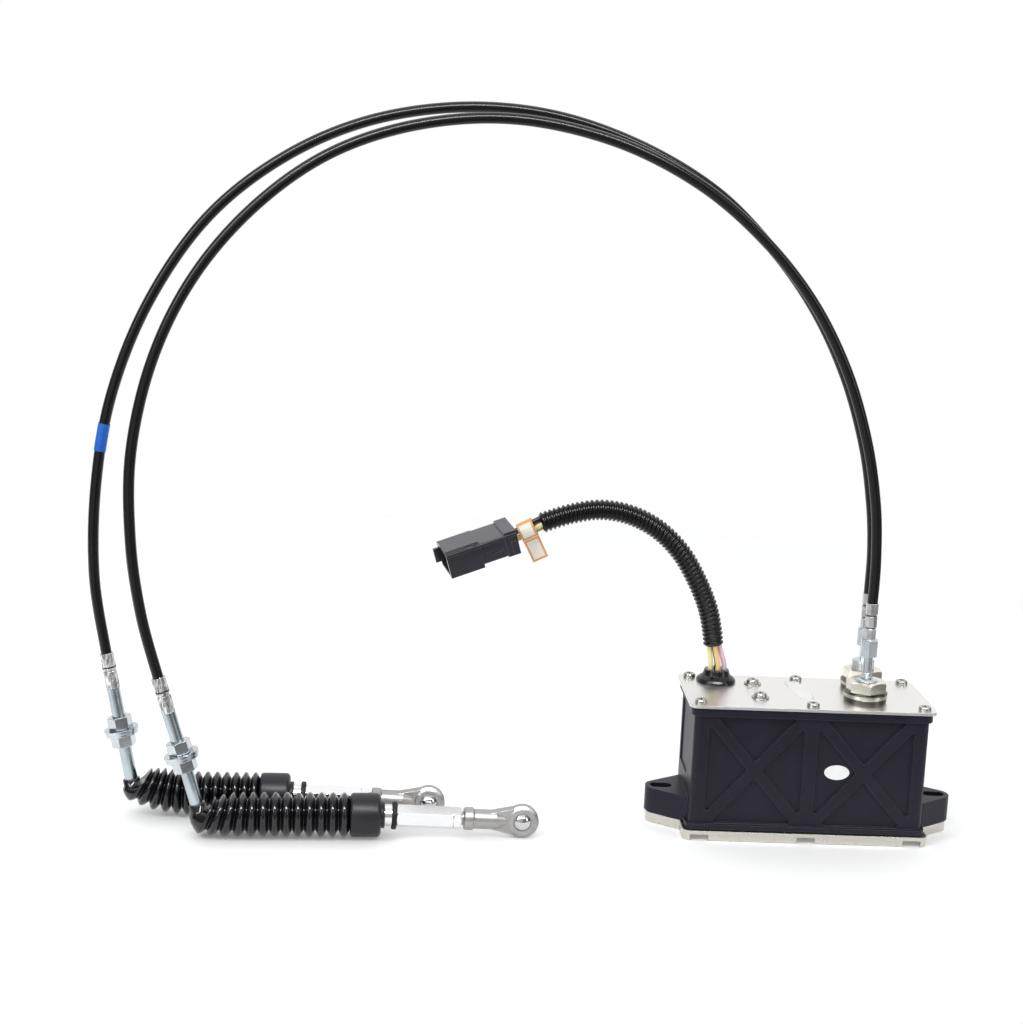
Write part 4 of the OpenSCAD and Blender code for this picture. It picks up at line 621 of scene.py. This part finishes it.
tail_up = Vector((0, 1, 0)).cross(tail_way).normalized()
for colour, skin in WIRES.items():
    x, y = WIRE_IN_LOOM[colour]
    start = foot + Vector((x, y, -(x * foot_way.x + y * foot_way.y) / foot_way.z))
    down = [Vector((GROMMET_AT.x + WIRE_IN_GROMMET[colour][0], GROMMET_AT.y + WIRE_IN_GROMMET[colour][1], z))
            for z in (Z_TOP + GROMMET_H + 4, Z_TOP + GROMMET_H + 0.3, Z_LID - LIP_H - 0.3, Z_LID - 10)]
    lower = smooth_path([start, *down, *WIRE_ENDS[colour]], WIRE_STEPS)
    upper_start = tail + x * tail_way.cross(tail_up) + y * tail_up
    plug = [PLUG_AT + PLUG_TURN @ Vector((d, -x, y)) for d in (-1, 3)]
    upper = smooth_path([upper_start, (upper_start + plug[0]) / 2, *plug], WIRE_STEPS)
    wire = swept(f"{colour}_wire_run", [lower, upper], WIRE_R, WIRE_SIDES, skin)
    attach(wire, "actuator")
    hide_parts(f"wire_{colour}")

# Bellows boots

S_BOOT, BOOT_GRIP = 81.0, 4.0
PITCH = {"front": 6.9, "rear": 5.9}
FAN_RISE = {"front": -0.5, "rear": 5.2}
PLEATS, FAN_PLEATS = 13, 5
FAN_TILT = {"front": 24, "rear": 35}
NECK_RUN, NECK_TAPER = 5.5, 1.4
CREST_R, ROOT_R, COLLAR_R, TUBE_R = 13.5, 9.2, 5.2, 4.0
CUFF_LEN, CUFF_R, CUFF_NECK_LEN, CUFF_NECK_R, STEM_R = 18.6, 13.2, 2.4, 8.0, 6.5
STEM_IN_CUFF = 8.0
FAN_POWER, CREST_POWER, FLARE_POWER = 1.5, 1.9, 0.8
FLARE_SHARES, BOOT_SIDES = (0.25, 0.5, 0.75, 0.92), 56
# Where a pleat's rings lie, as shares of its pitch from the crest
PLEAT_STEPS = (-0.5, -0.46, -0.41, -0.34, -0.25, -0.13, 0.0, 0.13, 0.25, 0.34, 0.41, 0.46)


def fan(i):
    """How far pleat i is still fanned round the bend, from 1 at the neck to 0."""
    return max(0.0, 1 - i / FAN_PLEATS) ** FAN_POWER


class Boot:
    """Rings of one boot in its upright plane: u along the floor, z up."""

    def __init__(self, side):
        self.side = side
        self.end = Vector(CABLE_ROUTE[side][-1])
        self.lean, self.yaw = math.radians(LEAN[side]), math.radians(YAW[side])
        self.u0 = S_BOOT * math.sin(self.lean)
        self.z0 = self.end.z - S_BOOT * math.cos(self.lean)
        self.cuff_u = self.pleat_u(PLEATS - 0.5)

    def pleat_u(self, i):
        return self.u0 + NECK_RUN + PITCH[self.side] * i

    def point(self, u, z):
        return Vector((self.end.x + u * math.cos(self.yaw), self.end.y + u * math.sin(self.yaw), z))

    def ring(self, u, z, tilt, r):
        t = math.radians(tilt)
        way = Vector((math.cos(t) * math.cos(self.yaw), math.cos(t) * math.sin(self.yaw), -math.sin(t)))
        return self.point(u, z), way, r

    def collar(self, s, r):
        return self.ring(self.u0 + s * math.sin(self.lean), self.z0 - s * math.cos(self.lean),
                         90 - math.degrees(self.lean), r)

    def pleat(self, i, r):
        share = fan(max(i, 0))
        return self.ring(self.pleat_u(i), CREST_R + FAN_RISE[self.side] * share,
                         FAN_TILT[self.side] * share, r)

    def flare(self, share, r):
        a = (self.u0 + BOOT_GRIP * math.sin(self.lean), self.z0 - BOOT_GRIP * math.cos(self.lean),
             90 - math.degrees(self.lean))
        b = (self.pleat_u(0), CREST_R + FAN_RISE[self.side], FAN_TILT[self.side])
        return self.ring(*(p + (q - p) * share for p, q in zip(a, b)), r)

    def cuff(self, u, r):
        return self.ring(self.cuff_u + u, CREST_R, 0, r)

    def pleated_rings(self):
        first = CREST_R - NECK_TAPER
        rings = [self.collar(0, TUBE_R + 0.05), self.collar(0, COLLAR_R - 0.3), self.collar(0.3, COLLAR_R),
                 self.collar(BOOT_GRIP, COLLAR_R)]
        rings += [self.flare(share, COLLAR_R + (first - COLLAR_R) * share ** FLARE_POWER)
                  for share in FLARE_SHARES]
        for i in range(PLEATS):
            crest = CREST_R - NECK_TAPER * max(0.0, 1 - i / 2)
            for t in PLEAT_STEPS:
                if i == 0 and t < 0:
                    continue
                high = 1 - abs(2 * t) ** CREST_POWER
                rings.append(self.pleat(i + t, ROOT_R + (crest - ROOT_R) * high))
        return rings + [self.cuff(0, ROOT_R), self.cuff(0.1, ROOT_R - 0.8)]

    def cuff_rings(self):
        return [self.cuff(0.05, ROOT_R - 0.8), self.cuff(0.15, CUFF_R - 2.2), self.cuff(0.4, CUFF_R - 1.2),
                self.cuff(1.0, CUFF_R - 0.4), self.cuff(2.0, CUFF_R), self.cuff(CUFF_LEN - 2.2, CUFF_R),
                self.cuff(CUFF_LEN - 1.2, CUFF_R - 0.35), self.cuff(CUFF_LEN - 0.4, CUFF_R - 1.1),
                self.cuff(CUFF_LEN, CUFF_R - 2.2), self.cuff(CUFF_LEN + 0.05, CUFF_NECK_R + 0.3),
                self.cuff(CUFF_LEN + 0.3, CUFF_NECK_R),
                self.cuff(CUFF_LEN + CUFF_NECK_LEN - 0.4, CUFF_NECK_R),
                self.cuff(CUFF_LEN + CUFF_NECK_LEN, CUFF_NECK_R - 0.4),
                self.cuff(CUFF_LEN + CUFF_NECK_LEN, STEM_R + 0.35)]

    def wire_points(self):
        rings = [self.collar(BOOT_GRIP - 3, 0), self.collar(BOOT_GRIP + 3.2, 0)]
        rings += [self.pleat(i, 0) for i in range(2, PLEATS, 2)]
        rings += [self.cuff(CUFF_LEN - STEM_IN_CUFF - 0.1, 0)]
        return [r[0] for r in rings]


for side in SIDES:
    boot = Boot(side)
    low, high = boot.pleat(0.5, 0)[0], boot.cuff(0, 0)[0]
    pleated = bmesh.new()
    add_skin(pleated, boot.pleated_rings(), BOOT_SIDES, capped=False)
    pleated = finish_mesh(f"{side}_bellows", pleated, BLACK_RUBBER)
    tuple(low * MM)
    tuple(high * MM)
    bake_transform(pleated)
    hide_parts(f"{side}_boot")
    cuff = bmesh.new()
    add_skin(cuff, boot.cuff_rings(), BOOT_SIDES, capped=False)
    cuff = finish_mesh(f"{side}_bellows_cuff", cuff, CUFF_RUBBER, CUFF_SHARP)
    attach(cuff, f"{side}_rod")
    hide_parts(f"{side}_boot")
    core = swept(f"{side}_bare_wire", [boot.wire_points()], CORE_R, CORE_SIDES, CORE)
    tuple(low * MM)
    tuple(high * MM)
    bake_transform(core)
    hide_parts(f"{side}_core_wire")

# Stage and light

# The floor fades out all round, sooner in front of the part and to its right, where it would pale the metal
FLOOR_SIZE, FLOOR_DROP, FLOOR_MIDDLE = 12, 0.0003, (-0.18, -0.05, 0)
FADE_ROUND, FADE_FRONT, FADE_RIGHT = (0.75, 1.25), (-0.25, -0.13), (0.2, 0.42)
floor_mesh = bmesh.new()
bmesh.ops.create_grid(floor_mesh, x_segments=1, y_segments=1, size=FLOOR_SIZE)
floor_look = Look("floor_white", {"Roughness": 0.6, "Base Color": (0.93, 0.93, 0.93, 1),
                                  "Specular IOR Level": 0.2, "Emission Color": (1, 1, 1, 1),
                                  "Emission Strength": 0.16})
away = floor_look.make("ShaderNodeVectorMath", {"operation": "DISTANCE"},
                       {0: floor_look.place, 1: FLOOR_MIDDLE}, "Value")
behind_front = floor_look.along(BACK).step(*FADE_FRONT)
left_of_right = 1 - floor_look.along(ACROSS).step(*FADE_RIGHT)
floor_look.feed(Alpha=(1 - away.step(*FADE_ROUND)) * behind_front * left_of_right)
floor = finish_mesh("floor", floor_mesh, floor_look.material)
floor.location.z = -FLOOR_DROP

world = bpy.data.worlds.new("studio")
bpy.context.scene.world = world
world.use_nodes = True
world.node_tree.nodes.clear()
studio = Nodes(world.node_tree)
aim = studio.make("ShaderNodeTexCoord", out="Generated")
aim_x, aim_y, aim_z = (studio.make("ShaderNodeSeparateXYZ", None, {0: aim}, axis) for axis in "XYZ")

# Soft top and bright backdrop, then a paler camera side with a dark gap to the right of the camera
LOW_LEVEL, TOP_LEVEL, BACKDROP_LEVEL, FRONT_LEVEL, GAP_DEPTH = 0.14, 0.42, 0.9, 0.48, 0.40
TOP_EDGE, BACKDROP_EDGE, FRONT_EDGE, WHITE_EDGE = (0.1, 0.9), (0.05, 0.8), (-0.6, -0.2), (0.5, 0.9)
GAP_LEFT, GAP_RIGHT = (0.04, 0.2), (0.62, 0.85)
gap = aim_x.step(*GAP_LEFT, 0.0, GAP_DEPTH) * aim_x.step(*GAP_RIGHT, 1.0, 0.0)
front = (FRONT_LEVEL - gap) * aim_y.step(*FRONT_EDGE, 1.0, 0.0)
back = aim_z.step(*TOP_EDGE, LOW_LEVEL, TOP_LEVEL) + aim_y.step(*BACKDROP_EDGE, 0.0, BACKDROP_LEVEL)
soft = studio.make("ShaderNodeBackground", None, {"Color": (0.97, 0.985, 1, 1), "Strength": back + front})
white = studio.make("ShaderNodeBackground", None, {"Color": (1, 1, 1, 1), "Strength": 1.0})
# White for the camera, and for gloss and glass that look into the backdrop
camera_ray, glossy_ray, clear_ray = (studio.make("ShaderNodeLightPath", out=f"Is {kind} Ray")
                                     for kind in ("Camera", "Glossy", "Transmission"))
seen = camera_ray + (glossy_ray + clear_ray) * aim_y.step(*WHITE_EDGE)
studio.make("ShaderNodeOutputWorld", None,
            {"Surface": studio.make("ShaderNodeMixShader", None, {0: seen, 1: soft, 2: white})})


def softbox(name, place, target, size, energy, shine_only=False):
    """Area lamp aimed at a target; one that only shines is seen in gloss and lights no matt surface."""
    data = bpy.data.lights.new(name, "AREA")
    data.shape = "RECTANGLE"
    data.size, data.size_y = size
    data.energy = energy
    light = bpy.data.objects.new(name, data)
    light.location = place
    light.visible_diffuse = not shine_only
    light.rotation_mode = "QUATERNION"
    light.rotation_quaternion = (Vector(target) - Vector(place)).to_track_quat("-Z", "Y")
    bpy.context.scene.collection.objects.link(light)


softbox("overhead", (-0.2, 0.2, 1.5), (-0.2, 0, 0), (2.0, 1.4), 6)
softbox("key_left", (-1.2, -0.8, 1.0), (-0.2, 0, 0.1), (0.4, 0.9), 8)
softbox("strip_front", (-0.1, -1.0, 1.3), (-0.15, 0, 0.05), (1.4, 0.13), 4)
softbox("strip_shine", (-0.15, -0.95, 1.25), (-0.15, 0, 0.1), (1.6, 0.2), 24, shine_only=True)
softbox("fill_right", (1.1, -0.7, 0.7), (0, 0, 0.1), (0.3, 0.9), 3)

bpy.context.scene.view_settings.view_transform = "Standard"
